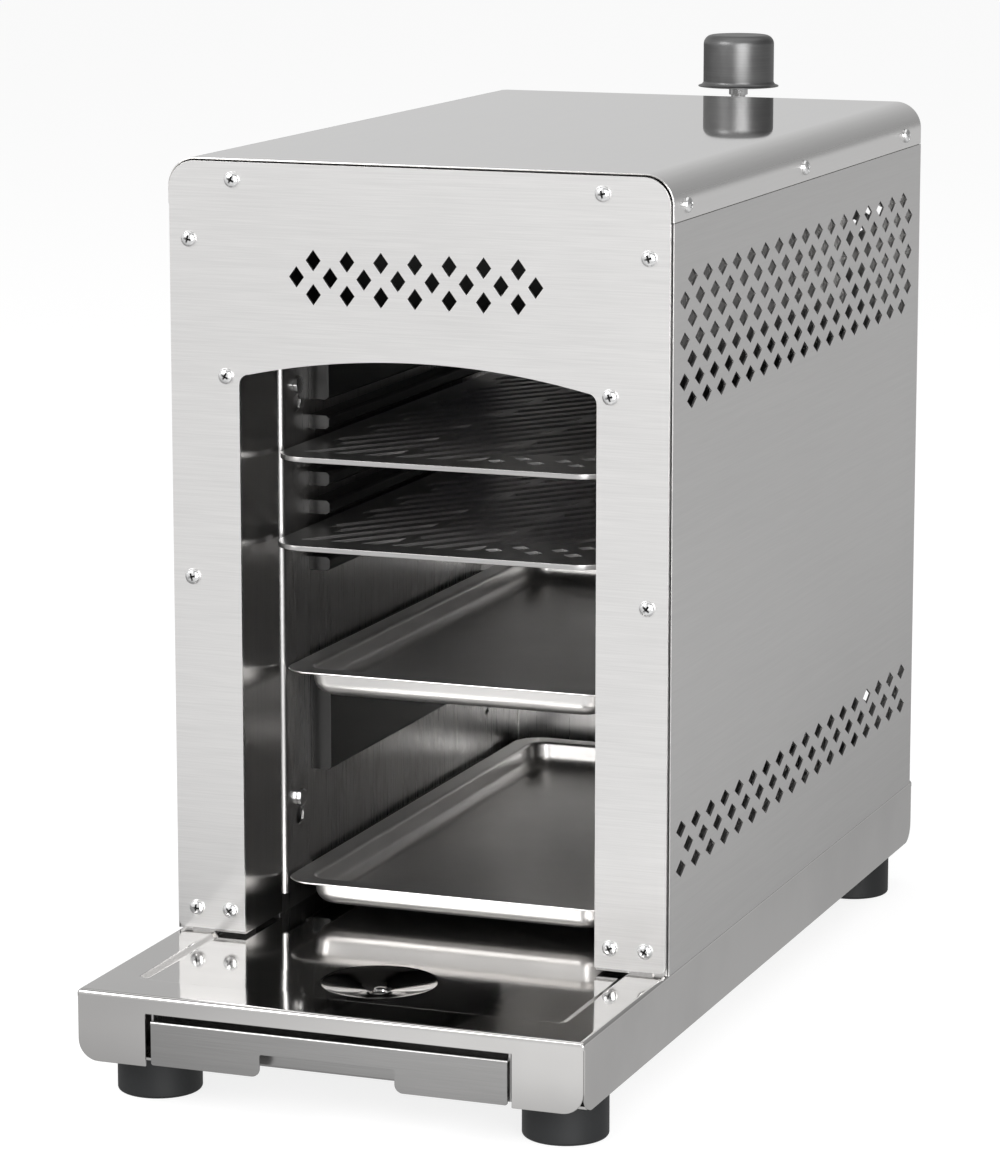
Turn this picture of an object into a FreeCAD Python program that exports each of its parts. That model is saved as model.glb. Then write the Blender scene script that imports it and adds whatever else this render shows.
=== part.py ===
import FreeCAD, Part
import math
import os

import Sketcher

# Infrared steak grill: a narrow stainless case on a folded base, open at the front,
# with two grates, two trays, a grease drawer, and a gas burner under its top cover.
# X runs across, Y from the front to the back, Z up. The feet stand on Z = 0.
# Pieces are drawn with Y = 0 on the front of the face plate, and are then moved
# together so that the origin lies under the middle of the whole grill.

os.makedirs("parts", exist_ok=True)
doc = FreeCAD.newDocument("steak_grill")

# Driving dimensions, in millimetres, degrees and counts. A value that starts with = is tied
# to others by a clearance that has its own name.

SIZES = [
    ("foot_height", 22.5, "rubber foot, from the table to the base"),
    ("foot_diameter", 40, "rubber foot"),
    ("foot_inset_side", 23.1, "foot centre from the base side"),
    ("foot_inset_front", 40.3, "foot centre from the base front"),
    ("foot_inset_rear", 37.4, "foot centre from the base rear"),
    ("foot_bore", 5.6, "screw hole through a foot"),
    ("foot_counterbore", 12, "recess for the screw head"),
    ("foot_counterbore_depth", 9, "recess for the screw head"),
    ("foot_screw_shank", 5, "screw through a foot"),
    ("foot_screw_head", 10, "head of the foot screw"),
    ("foot_screw_head_height", 4, "head of the foot screw"),
    ("foot_flange_width", 36, "inward flange that a foot is screwed to"),
    ("base_width", 249, "base, side to side"),
    ("base_depth", 541, "base, front to back"),
    ("base_height", 34, "base, without the feet"),
    ("base_gauge", 1.2, "base sheet"),
    ("base_corner", 10, "rounded lower corner of the base walls"),
    ("apron", 113, "base in front of the face plate"),
    ("recess_side", 20, "base side to the recess"),
    ("recess_width", "=base_width - 2 * recess_side", "shallow drip recess"),
    ("recess_margin", 27, "base front to the recess"),
    ("recess_tail", 32, "recess to the base rear"),
    ("recess_length", "=base_depth - recess_margin - recess_tail", "drip recess, front to back"),
    ("recess_depth", 1.6, "drip recess"),
    ("drain_setback", 65, "base front to the middle of the drain"),
    ("drain_width", 56, "drain funnel"),
    ("drain_depth", 5, "drain funnel"),
    ("drain_hole", 7, "hole in the middle of the funnel"),
    ("opening_margin", 34.5, "base side to the drawer opening"),
    ("opening_width", "=base_width - 2 * opening_margin", "drawer opening in the base front"),
    ("opening_height", 25.2, "drawer opening above the base bottom"),
    ("runner_gauge", 1.2, "drawer runner sheet"),
    ("runner_ledge", 10, "ledge that the drawer slides on"),
    ("runner_length", 200, "drawer runner"),
    ("runner_lift", 1.7, "underside of the ledge above the base bottom"),
    ("drawer_gap", 0.3, "drawer floor above its runners"),
    ("drawer_side_gap", 1.5, "drawer body to each runner"),
    ("drawer_gauge", 1, "drawer sheet"),
    ("drawer_length", 180, "drawer body"),
    ("drawer_wall", 14, "height of the drawer body"),
    ("drawer_front_gap", 2.3, "drawer front to each side of its opening"),
    ("drawer_front_width", "=opening_width - 2 * drawer_front_gap", "drawer front"),
    ("drawer_front_height", 21.2, "drawer front"),
    ("drawer_front_lift", 0.7, "drawer front above the base bottom"),
    ("drawer_front_setback", 0.9, "drawer front behind the base front"),
    ("drawer_hem", 8, "folded top of the drawer front"),
    ("notch_width", 66.4, "finger notch in the drawer front"),
    ("notch_height", 10.7, "finger notch in the drawer front"),
    ("notch_corner", 4, "rounded corner of the notch"),
    ("case_overhang", 1, "case beyond each side of the base"),
    ("case_width", "=base_width + 2 * case_overhang", "case, side to side"),
    ("base_tail", 8.5, "base behind the rear panel"),
    ("case_depth", "=base_depth - apron - base_tail", "case, from the face plate to the rear panel"),
    ("case_height", 374.5, "case above the base"),
    ("sheet", 1, "sheet of the panels and of the chamber"),
    ("plate_inset", 0.5, "face plate inside each side of the case"),
    ("plate_width", "=case_width - 2 * plate_inset", "face plate"),
    ("plate_gauge", 1.5, "face plate"),
    ("plate_lift", 1.5, "gap between the face plate and the base"),
    ("plate_corner", 14, "rounded upper corner of the face plate"),
    ("plate_foot_corner", 3, "rounded lower corner of the face plate"),
    ("plate_column", 35.7, "face plate beside its window"),
    ("window_width", "=plate_width - 2 * plate_column", "window in the face plate"),
    ("window_drop", 102.9, "case top to the shoulder of the window"),
    ("window_shoulder", "=case_height - window_drop", "window height where its arch starts"),
    ("arch_rise", 9.4, "rise of the window's arch"),
    ("window_crown", "=window_shoulder + arch_rise", "window height in the middle"),
    ("window_corner", 5, "rounded upper corner of the window"),
    ("face_vent_drop", 55.5, "case top to the vent band"),
    ("face_vent_height", "=case_height - face_vent_drop", "vent band above the lower edge of the plate"),
    ("face_vent_pitch", 17, "vents of the face plate, side to side"),
    ("face_vent_rise", 8, "from one vent row of the face plate to the next"),
    ("face_vent_width", 7.5, "vent of the face plate"),
    ("face_vent_tall", 10, "vent of the face plate"),
    ("face_vent_columns", 8, "vents in the longest row"),
    ("face_vent_rows", 3, "vent rows of the face plate"),
    ("screw_head", 7.6, "pan head screw"),
    ("screw_head_height", 2.3, "pan head screw"),
    ("screw_shank", 3.6, "pan head screw"),
    ("screw_length", 7, "pan head screw under its head"),
    ("screw_hole", 4.2, "clearance hole for a pan head screw"),
    ("small_sides", 8, "flat sides that stand for the round of a small hole, shank or head"),
    ("foot_sides", 32, "flat sides that stand for the round of a foot"),
    ("screw_edge", 10.6, "outer plate screws from the plate's edge"),
    ("screw_out", "=plate_width / 2 - screw_edge", "outer column of plate screws"),
    ("screw_edge_top", 33, "inner top screw from the plate's edge"),
    ("screw_in_top", "=plate_width / 2 - screw_edge_top", "inner plate screw at the top"),
    ("screw_arch_gap", 6.7, "screw beside the window's arch"),
    ("screw_in_arch", "=window_width / 2 + screw_arch_gap", "plate screw beside the arch"),
    ("screw_foot_gap", 7.7, "inner foot screw beside the window"),
    ("screw_in_foot", "=window_width / 2 + screw_foot_gap", "inner plate screw at the foot"),
    ("screw_top_drop", 11.2, "case top to the top screws"),
    ("screw_top_height", "=case_height - screw_top_drop", "plate screw above the lower edge of the plate"),
    ("screw_shoulder_drop", 39.8, "case top to the shoulder screws"),
    ("screw_shoulder_height", "=case_height - screw_shoulder_drop", "plate screw above the lower edge of the plate"),
    ("screw_arch_drop", 1.3, "screw below the window's shoulder"),
    ("screw_arch_height", "=window_shoulder - screw_arch_drop", "plate screw above the lower edge of the plate"),
    ("screw_middle_height", 173, "plate screw above the lower edge of the plate"),
    ("screw_foot_height", 10, "plate screw above the lower edge of the plate"),
    ("seam_drop", 22, "side flange of the top cover"),
    ("seam_gap", 0.4, "seam between the cover and a side panel"),
    ("lip", 12, "folded lip of a panel"),
    ("cover_screw_first", 20.5, "first cover screw from the face plate"),
    ("cover_screw_pitch", 184.2, "cover screws, front to back"),
    ("cover_screw_drop", 15.3, "cover screws below the top"),
    ("top_rail_height", 20, "rail behind the seam of the cover"),
    ("vent_rise", 9.45, "from one side vent row to the next"),
    ("vent_first", 18.4, "first vent of the long rows from the face plate"),
    ("vent_length", 14.4, "side vent, front to back"),
    ("vent_tall", 8.4, "side vent, up and down"),
    ("vent_columns", 18, "vents in a long row"),
    ("vent_last", 22, "last vent of the long rows from the rear panel"),
    ("vent_pitch", "=(case_depth - vent_first - vent_last) / (vent_columns - 1)", "side vents, front to back"),
    ("vent_upper_rows", 7, "rows of the upper vent field"),
    ("vent_upper_drop", 49.5, "case top to the top row of vents"),
    ("vent_upper_top", "=case_height - vent_upper_drop", "top row of the upper vents above the base"),
    ("vent_lower_rows", 3, "rows of the lower vent field"),
    ("vent_lower_top", 67, "top row of the lower vents above the base"),
    ("rear_vent_columns", 10, "vents in a long row of the rear panel"),
    ("rear_vent_rows", 3, "rows of each vent field of the rear panel"),
    ("rear_vent_clear", 50, "part of the rear panel without upper vents, from the middle"),
    ("jamb_depth", 44.5, "front column behind the face plate"),
    ("jamb_gap", 0.4, "window edge to the web of a front column"),
    ("jamb_flange", 28, "front flange of a front column"),
    ("jamb_return", 14, "rear flange of a front column"),
    ("chamber_gap", 1.7, "window edge to the liner"),
    ("chamber_width", "=window_width + 2 * chamber_gap", "chamber between its side liners"),
    ("chamber_tail", 26.5, "chamber's back wall to the rear panel"),
    ("chamber_depth", "=case_depth - chamber_tail", "chamber, from the face plate to its back wall"),
    ("liner_drop", 27.5, "case top to the heat shield"),
    ("liner_height", "=case_height - liner_drop", "side liner above the base"),
    ("back_drop", 63, "heat shield to the top of the back wall"),
    ("back_height", "=liner_height - back_drop", "chamber back wall above the base"),
    ("rack_gap", 3, "rack wall to the liner at the front"),
    ("rack_gauge", 1, "rack wall"),
    ("rack_curl", 2.6, "rounded front edge of a rack wall"),
    ("rack_front", 48, "front of a rack wall from the face plate"),
    ("rack_tail", 54, "rack wall to the chamber's back wall"),
    ("rack_rear", "=chamber_depth - rack_tail", "rear of a rack wall from the face plate"),
    ("rack_low", 8.5, "lower edge of a rack wall above the base"),
    ("rack_drop", 70.5, "heat shield to the top of a rack wall"),
    ("rack_height", "=liner_height - rack_low - rack_drop", "rack wall"),
    ("rack_step", 76, "where the rack wall steps outwards"),
    ("rack_step_depth", 1.8, "outward step of the rack wall"),
    ("rail_start", 84, "front end of the rails"),
    ("rail_reach", 9, "rails stand in from the front of the rack wall"),
    ("rail_end", 17, "rear end of the rails from the rear of the rack wall"),
    ("rail_bevel", 1.5, "bevelled crown of a rail"),
    ("rail_height", 7, "grate rail"),
    ("rail_pitch", 14.1, "grate rails"),
    ("rail_count", 6, "grate rails"),
    ("rail_drop", 105.1, "heat shield to the first grate rail"),
    ("rail_top", "=liner_height - rail_drop", "top of the first grate rail above the base"),
    ("head_rail_drop", 97.5, "heat shield to the underside of the head rail"),
    ("head_rail_low", "=liner_height - head_rail_drop", "underside of the head rail above the base"),
    ("head_rail_height", 20, "head rail"),
    ("tray_rail_top", 122.2, "top of the upper tray rail above the base"),
    ("tray_rail_height", 58.2, "upper tray rail"),
    ("floor_rail_top", 17.2, "top of the lower tray rail above the base"),
    ("floor_rail_height", 8, "lower tray rail"),
    ("rest_gap", 0.3, "grate or tray above the rail it slides on"),
    ("stud_setback", 65, "front rack studs from the face plate"),
    ("stud_rear", 9, "rear rack studs from the rear of the rack wall"),
    ("stud_head_height", 2.2, "rack stud"),
    ("stud_drop", 17, "upper studs below the top of the rack wall"),
    ("stud_high", "=rack_low + rack_height - stud_drop", "upper rack studs above the base"),
    ("stud_low", 54, "lower rack studs above the base"),
    ("stud_head", 9, "rack stud"),
    ("stud_shank", 5, "rack stud"),
    ("keyhole_drop", 9, "keyhole entry below its stud"),
    ("keyhole_entry", 10, "keyhole entry"),
    ("grate_gap", 5, "grate to each liner"),
    ("grate_width", "=chamber_width - 2 * grate_gap", "grate"),
    ("grate_gauge", 2.5, "grate"),
    ("grate_corner", 18, "rounded corner of a grate"),
    ("grate_upper_front", 26, "upper grate from the face plate"),
    ("grate_lower_front", 22, "lower grate from the face plate"),
    ("grate_tail", 29, "upper grate to the back wall"),
    ("grate_length", "=chamber_depth - grate_upper_front - grate_tail", "grate"),
    ("grate_margin", 11, "frame round the slots of a grate"),
    ("slot_angle", 54, "slots from the front edge of a grate"),
    ("slot_pitch", 21.7, "slots along the side of a grate"),
    ("slot_width", 6.4, "slot of a grate"),
    ("bridge_pitch", 44, "bridges of a long slot, side to side"),
    ("bridge_width", 5, "bridge of a slot"),
    ("grid_pitch", 20, "small holes at the front corner of a grate"),
    ("grid_hole", 6, "small hole of a grate"),
    ("tray_gap", 4.5, "tray to each liner"),
    ("tray_width", "=chamber_width - 2 * tray_gap", "tray over its flange"),
    ("tray_depth", 14, "tray with its flange"),
    ("tray_gauge", 1, "tray sheet"),
    ("tray_flange", 11, "flat flange of a tray"),
    ("tray_corner", 15, "rounded corner of a tray"),
    ("tray_foot", 5, "bevelled lower edge of a tray"),
    ("tray_front", 37, "trays from the face plate"),
    ("tray_tail", 15, "tray to the back wall"),
    ("tray_length", "=chamber_depth - tray_front - tray_tail", "tray over its flange"),
    ("burner_drop", 57.3, "heat shield to the underside of the burner"),
    ("burner_seat", "=liner_height - burner_drop", "underside of the burner above the base"),
    ("burner_rail_width", 25, "ledge of a burner rail"),
    ("burner_rail_leg", 18, "upright of a burner rail"),
    ("burner_rail_gauge", 1.2, "burner rail"),
    ("burner_side_gap", 21, "burner to each liner"),
    ("burner_width", "=chamber_width - 2 * burner_side_gap", "burner housing"),
    ("burner_height", 50, "burner housing"),
    ("burner_front", 80, "burner from the face plate"),
    ("burner_wall", 1.2, "burner housing"),
    ("burner_tail", 53, "burner to the back wall"),
    ("burner_length", "=chamber_depth - burner_front - burner_tail", "burner housing"),
    ("tile_gap", 1.8, "tiles to the side walls of the burner"),
    ("tile_width", "=burner_width - 2 * burner_wall - 2 * tile_gap", "ceramic tile"),
    ("tile_end_gap", 1.2, "tiles to the end walls of the burner"),
    ("tile_length", "=(burner_length - 3 * burner_wall) / 2 - tile_end_gap", "ceramic tile"),
    ("tile_thickness", 13, "ceramic tile"),
    ("tile_lip", 8, "inward lip that holds the tiles"),
    ("guard_inset", 5, "guard inside the edge of the burner"),
    ("guard_width", "=burner_width - 2 * guard_inset", "guard under the tiles"),
    ("guard_length", "=burner_length - 2 * guard_inset", "guard under the tiles"),
    ("guard_gauge", 1.5, "guard under the tiles"),
    ("guard_bars", 11, "openings between the bars of the guard"),
    ("guard_bar", 5, "bar of the guard"),
    ("tube_diameter", 24, "mixing tube"),
    ("tube_wall", 1, "mixing tube"),
    ("tube_sleeve", 28, "air sleeve round the end of the mixing tube"),
    ("tube_height", 39, "mixing tube above the underside of the burner"),
    ("tube_reach", 33, "mixing tube behind the rear panel"),
    ("tube_sleeve_length", 14, "air sleeve round the end of the mixing tube"),
    ("knob_setback", 71, "knob axis behind the rear panel"),
    ("knob_diameter", 39.3, "knob cup"),
    ("knob_lip", 44.8, "flared lip of the knob cup"),
    ("knob_height", 28.6, "knob cup"),
    ("knob_wall", 1, "knob cup"),
    ("knob_round", 4, "turned-down edge of the knob cup"),
    ("knob_flare", 4, "height of the flared lip"),
    ("knob_sink", 0.2, "lip of the knob cup below the case top"),
    ("hub_diameter", 16, "hub in the knob cup"),
    ("hub_nose", 12.5, "lower end of the hub"),
    ("hub_step", 4, "height of the lower end of the hub"),
    ("hub_lift", 0.8, "hub above the lip of the knob cup"),
    ("stem_diameter", 8, "valve stem"),
    ("stem_in_hub", 18, "valve stem in the hub"),
    ("stem_in_valve", 12, "valve stem in the valve body"),
    ("stem_gap", 0.08, "clearance round the stem in its bores"),
    ("press_travel", 3, "knob travel to light the burner"),
    ("collar_diameter", 10.5, "collar under the hub"),
    ("collar_height", 5.5, "collar under the hub"),
    ("shelf_drop", 27, "top of the valve shelf below the case top"),
    ("shelf_gauge", 1.5, "valve bracket"),
    ("shelf_width", 64, "valve bracket"),
    ("shelf_overhang", 16.5, "valve bracket behind the knob axis"),
    ("bracket_drop", 62, "upright flange of the valve bracket"),
    ("valve_width", 26, "valve body"),
    ("valve_height", 32, "valve body"),
    ("valve_boss", 18, "boss on top of the valve body"),
    ("valve_boss_height", 8.5, "boss on top of the valve body"),
    ("neck_diameter", 12, "threaded neck of the valve body"),
    ("neck_height", 7, "threaded neck above the underside of the shelf"),
    ("nut_flats", 17, "nut on the neck"),
    ("nut_height", 4, "nut on the neck"),
    ("inlet_thread", 13.16, "gas inlet, outside diameter"),
    ("inlet_length", 14, "threaded end of the gas inlet"),
    ("inlet_hex", 17, "flats of the gas inlet"),
    ("inlet_hex_length", 6, "hexagon of the gas inlet"),
    ("inlet_bore", 6, "bore of the gas inlet"),
    ("jet_diameter", 10, "jet holder"),
    ("jet_length", 13, "jet holder"),
    ("jet_tip", 6, "tip of the jet"),
    ("jet_tip_length", 5, "tip of the jet"),
    ("jet_bore", 1.5, "hole in the jet"),
    ("lead_diameter", 4, "ignition lead"),
    ("lead_side", 40, "ignition lead from the middle"),
    ("lead_bend", 16, "bend of the ignition lead"),
    ("lead_lift", 20, "ignition lead above the foot of the valve body"),
    ("electrode_setback", 12, "electrode behind the burner"),
    ("electrode_diameter", 7, "ceramic of the electrode"),
    ("electrode_length", 24, "ceramic of the electrode"),
    ("electrode_pin", 2, "pin of the electrode"),
    ("electrode_pin_drop", 4, "pin below the ceramic"),
    ("electrode_pin_reach", 20, "pin towards the burner"),
    ("electrode_rise", 14, "electrode bracket above the underside of the burner"),
    ("grommet_flange", 13, "grommet of the ignition lead"),
    ("grommet_neck", 8, "grommet of the ignition lead"),
    ("grommet_flange_thickness", 2, "grommet of the ignition lead"),
]

sheet = doc.addObject("Spreadsheet::Sheet", "dims")
for row, (alias, value, note) in enumerate(SIZES, start=1):
    sheet.set(f"A{row}", alias)
    sheet.set(f"B{row}", str(value))
    sheet.setAlias(f"B{row}", alias)
    sheet.set(f"C{row}", note)
doc.recompute()


class Size:
    """A length that knows its value and the sheet expression that gives it."""

    def __init__(self, value, text):
        self.value = float(value)
        self.text = text

    def __add__(self, other):
        other = as_size(other)
        return Size(self.value + other.value, f"({self.text} + {other.text})")

    def __sub__(self, other):
        other = as_size(other)
        return Size(self.value - other.value, f"({self.text} - {other.text})")

    def __mul__(self, other):
        other = as_size(other)
        return Size(self.value * other.value, f"({self.text} * {other.text})")

    def __truediv__(self, other):
        other = as_size(other)
        return Size(self.value / other.value, f"({self.text} / {other.text})")

    def __radd__(self, other):
        return as_size(other) + self

    def __rsub__(self, other):
        return as_size(other) - self

    def __rmul__(self, other):
        return as_size(other) * self

    def __neg__(self):
        return Size(-self.value, f"(0 - {self.text})")


def as_size(number):
    """A plain number as a Size."""
    if isinstance(number, Size):
        return number
    return Size(number, f"({number:g})")


class Dims:
    """The cells of the sheet by name."""


d = Dims()
for alias, value, note in SIZES:
    setattr(d, alias, Size(sheet.get(alias), f"dims.{alias}"))

# Levels and places that several pieces share

ZERO = as_size(0)
BASE_BOTTOM = d.foot_height
BASE_TOP = BASE_BOTTOM + d.base_height
BASE_FRONT = -d.apron
BASE_REAR = BASE_FRONT + d.base_depth
PLATE_BOTTOM = BASE_TOP + d.plate_lift
CASE_TOP = BASE_TOP + d.case_height
SEAM = CASE_TOP - d.seam_drop
CASE_SIDE = d.case_width / 2
PANEL_IN = CASE_SIDE - d.sheet
PLATE_BACK = d.plate_gauge
JAMB_FACE = d.window_width / 2 + d.jamb_gap
JAMB_REAR = PLATE_BACK + d.jamb_depth
LINER_IN = d.chamber_width / 2
LINER_OUT = LINER_IN + d.sheet
LINER_TOP = BASE_TOP + d.liner_height
RECESS_FLOOR = BASE_TOP - d.recess_depth
RACK_IN = LINER_IN - d.rack_gap
RAIL_CROWN = RACK_IN - d.rail_reach
BURNER_Z = BASE_TOP + d.burner_seat
BURNER_REAR = d.burner_front + d.burner_length
TUBE_Z = BURNER_Z + d.tube_height
KNOB_Y = d.case_depth + d.knob_setback
SHELF_TOP = CASE_TOP - d.shelf_drop
SHELF_UNDER = SHELF_TOP - d.shelf_gauge
VALVE_TOP = SHELF_UNDER - d.valve_boss_height
VALVE_FOOT = VALVE_TOP - d.valve_height
LEAD_Z = VALVE_FOOT + d.lead_lift
LIP_Z = CASE_TOP - d.knob_sink
KNOB_TOP = LIP_Z + d.knob_height
HUB_FOOT = LIP_Z + d.hub_lift
TO_CENTRE = (d.apron - KNOB_Y - d.knob_lip / 2) / 2
SMALL_SIDES = round(d.small_sides.value)
LEFT = -1
RIGHT = 1
SIDES = (("left", LEFT), ("right", RIGHT))

nodes = {}


def node(name, thing, y=ZERO):
    """Name a finished piece and move it from the face plate frame to the middle.
    A piece that is drawn at its own start passes its distance y from the face plate."""
    thing.Label = name
    thing.setExpression("Placement.Base.y", (y + TO_CENTRE).text)
    nodes[name] = thing
    return thing


# Part primitives and booleans

def box(name, x, y, z):
    """A block from three (low, high) pairs."""
    block = doc.addObject("Part::Box", name)
    for side, (low, high) in zip(("Length", "Width", "Height"), (x, y, z)):
        block.setExpression(side, (as_size(high) - low).text)
    for axis, (low, high) in zip("xyz", (x, y, z)):
        block.setExpression(f"Placement.Base.{axis}", as_size(low).text)
    return block


def aim(shape, start, x, y, z, axis):
    """Stand a round shape on its start place and turn it along its axis."""
    ways = {"X": FreeCAD.Vector(1, 0, 0), "Y": FreeCAD.Vector(0, 1, 0), "Z": FreeCAD.Vector(0, 0, 1)}
    turn = FreeCAD.Rotation(FreeCAD.Vector(0, 0, 1), ways[axis])
    shape.Placement = FreeCAD.Placement(FreeCAD.Vector(0, 0, 0), turn)
    place = {"x": as_size(x), "y": as_size(y), "z": as_size(z)}
    place[axis.lower()] = start
    for letter, value in place.items():
        shape.setExpression(f"Placement.Base.{letter}", value.text)


def rod(name, radius, start, end, x=ZERO, y=ZERO, z=ZERO, axis="Z"):
    """A cylinder from start to end along an axis. The other two places give its middle."""
    cylinder = doc.addObject("Part::Cylinder", name)
    start = as_size(start)
    cylinder.setExpression("Radius", as_size(radius).text)
    cylinder.setExpression("Height", (as_size(end) - start).text)
    aim(cylinder, start, x, y, z, axis)
    return cylinder


def cone(name, radius_start, radius_end, start, end, x=ZERO, y=ZERO, z=ZERO, axis="Z"):
    """A cone from start to end along an axis."""
    shape = doc.addObject("Part::Cone", name)
    start = as_size(start)
    shape.setExpression("Radius1", as_size(radius_start).text)
    shape.setExpression("Radius2", as_size(radius_end).text)
    shape.setExpression("Height", (as_size(end) - start).text)
    aim(shape, start, x, y, z, axis)
    return shape


def prism(name, radius, start, end, x=ZERO, y=ZERO, z=ZERO, axis="Z", sides=SMALL_SIDES):
    """A prism over a regular polygon, from start to end along an axis. The radius is to its corners."""
    shape = doc.addObject("Part::Prism", name)
    start = as_size(start)
    shape.Polygon = sides
    shape.setExpression("Circumradius", as_size(radius).text)
    shape.setExpression("Height", (as_size(end) - start).text)
    aim(shape, start, x, y, z, axis)
    return shape


def fuse(name, *pieces):
    """Join pieces into one."""
    joined = doc.addObject("Part::MultiFuse", name)
    joined.Shapes = list(pieces)
    joined.Refine = True
    return joined


def cut(name, base, *tools):
    """Take tools away from a piece."""
    tool = tools[0] if len(tools) == 1 else fuse(name + "_tools", *tools)
    result = doc.addObject("Part::Cut", name)
    result.Base = base
    result.Tool = tool
    result.Refine = True
    return result


# Sketches, pads and pockets

def pick_plane(body, name):
    """One of the body's own origin planes, such as XY."""
    for feature in body.Origin.OriginFeatures:
        if feature.Role == name + "_Plane":
            return feature
    return None


def draw_loop(sketch, loop):
    """Draw a closed loop tied to the sheet. A vertex is (x, y), or (x, y, radius) where an
    arc starts whose middle lies on the left of the way forward, or (x, y, radius, "right")."""
    first = sketch.GeometryCount
    count = len(loop)
    spots = [FreeCAD.Vector(as_size(v[0]).value, as_size(v[1]).value, 0) for v in loop]
    for index, vertex in enumerate(loop):
        start = spots[index]
        end = spots[(index + 1) % count]
        if len(vertex) == 2:
            sketch.addGeometry(Part.LineSegment(start, end))
            continue
        radius = as_size(vertex[2]).value
        chord = end - start
        left = FreeCAD.Vector(-chord.y, chord.x, 0).normalize()
        if len(vertex) == 4:
            left = -left
        reach = math.sqrt(max(radius ** 2 - (chord.Length / 2) ** 2, 0))
        centre = start + chord / 2 + left * reach
        middle = centre - left * radius
        sketch.addGeometry(Part.Arc(start, middle, end))
    # An arc to the right is stored from its end to its start
    starts = [2 if len(vertex) == 4 else 1 for vertex in loop]
    for index in range(count):
        after = (index + 1) % count
        ends = (first + index, 3 - starts[index], first + after, starts[after])
        sketch.addConstraint(Sketcher.Constraint("Coincident", *ends))
    for index, vertex in enumerate(loop):
        here = first + index
        for kind, size in (("DistanceX", vertex[0]), ("DistanceY", vertex[1])):
            size = as_size(size)
            tie = Sketcher.Constraint(kind, -1, 1, here, starts[index], size.value)
            number = sketch.addConstraint(tie)
            sketch.setExpression(f"Constraints[{number}]", size.text)
        if len(vertex) > 2:
            radius = as_size(vertex[2])
            number = sketch.addConstraint(Sketcher.Constraint("Radius", here, radius.value))
            sketch.setExpression(f"Constraints[{number}]", radius.text)


def draw_circle(sketch, x, y, radius):
    """Draw a circle tied to the sheet."""
    x, y, radius = as_size(x), as_size(y), as_size(radius)
    centre = FreeCAD.Vector(x.value, y.value, 0)
    here = sketch.addGeometry(Part.Circle(centre, FreeCAD.Vector(0, 0, 1), radius.value))
    for kind, size in (("DistanceX", x), ("DistanceY", y)):
        number = sketch.addConstraint(Sketcher.Constraint(kind, -1, 1, here, 3, size.value))
        sketch.setExpression(f"Constraints[{number}]", size.text)
    number = sketch.addConstraint(Sketcher.Constraint("Radius", here, radius.value))
    sketch.setExpression(f"Constraints[{number}]", radius.text)


def new_sketch(body, plane, middle=ZERO):
    """A sketch on an origin plane, moved to a place along the plane's world axis."""
    sketch = body.newObject("Sketcher::SketchObject", body.Name + "_sketch")
    sketch.AttachmentSupport = [(pick_plane(body, plane), "")]
    sketch.MapMode = "FlatFace"
    offset = -middle if plane == "XZ" else middle
    sketch.setExpression("AttachmentOffset.Base.z", offset.text)
    return sketch


def slab(body, kind, plane, loops, start, end, circles=()):
    """Pad or pocket loops from start to end along the plane's axis."""
    start, end = as_size(start), as_size(end)
    sketch = new_sketch(body, plane, (start + end) / 2)
    for loop in loops:
        draw_loop(sketch, loop)
    for circle in circles:
        draw_circle(sketch, *circle)
    feature = body.newObject("PartDesign::" + kind, f"{body.Name}_{kind.lower()}")
    feature.Profile = sketch
    feature.Midplane = True
    feature.setExpression("Length", (end - start).text)
    return feature


def new_body(name):
    """An empty body."""
    return doc.addObject("PartDesign::Body", name + "_body")


def rectangle(x, y):
    """A loop from two (low, high) pairs."""
    return [(x[0], y[0]), (x[1], y[0]), (x[1], y[1]), (x[0], y[1])]


def rounded(x, y, low_radius, high_radius):
    """A rectangle with one radius on its lower corners and one on its upper corners."""
    (x0, x1), (y0, y1) = x, y
    low, high = as_size(low_radius), as_size(high_radius)
    return [
        (x0 + low, y0), (x1 - low, y0, low), (x1, y0 + low), (x1, y1 - high, high),
        (x1 - high, y1), (x0 + high, y1, high), (x0, y1 - high), (x0, y0 + low, low),
    ]


def revolve(body, loop, kind="Revolution"):
    """Turn a loop of (radius, height) about the vertical axis through the sketch origin."""
    sketch = new_sketch(body, "XZ")
    draw_loop(sketch, loop)
    feature = body.newObject("PartDesign::" + kind, f"{body.Name}_{kind.lower()}")
    feature.Profile = sketch
    feature.ReferenceAxis = (sketch, ["V_Axis"])
    feature.Angle = 360
    return feature


def pair(low, high):
    """A (low, high) pair in the right order, so that a mirrored pair stays a pair."""
    low, high = as_size(low), as_size(high)
    return (low, high) if low.value <= high.value else (high, low)


def mirrored(side, low, high):
    """A (low, high) pair measured outwards from the middle, on one side."""
    return pair(as_size(low) * side, as_size(high) * side)


def on_side(side, loop):
    """A loop drawn for the right side, or its mirror image for the left side."""
    if side == RIGHT:
        return loop
    mirror = []
    for index in reversed(range(len(loop))):
        x, y = loop[index][:2]
        arc = tuple(loop[index - 1][2:])
        mirror.append((-as_size(x), y) + arc)
    return mirror


# Base, feet and drawer

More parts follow.
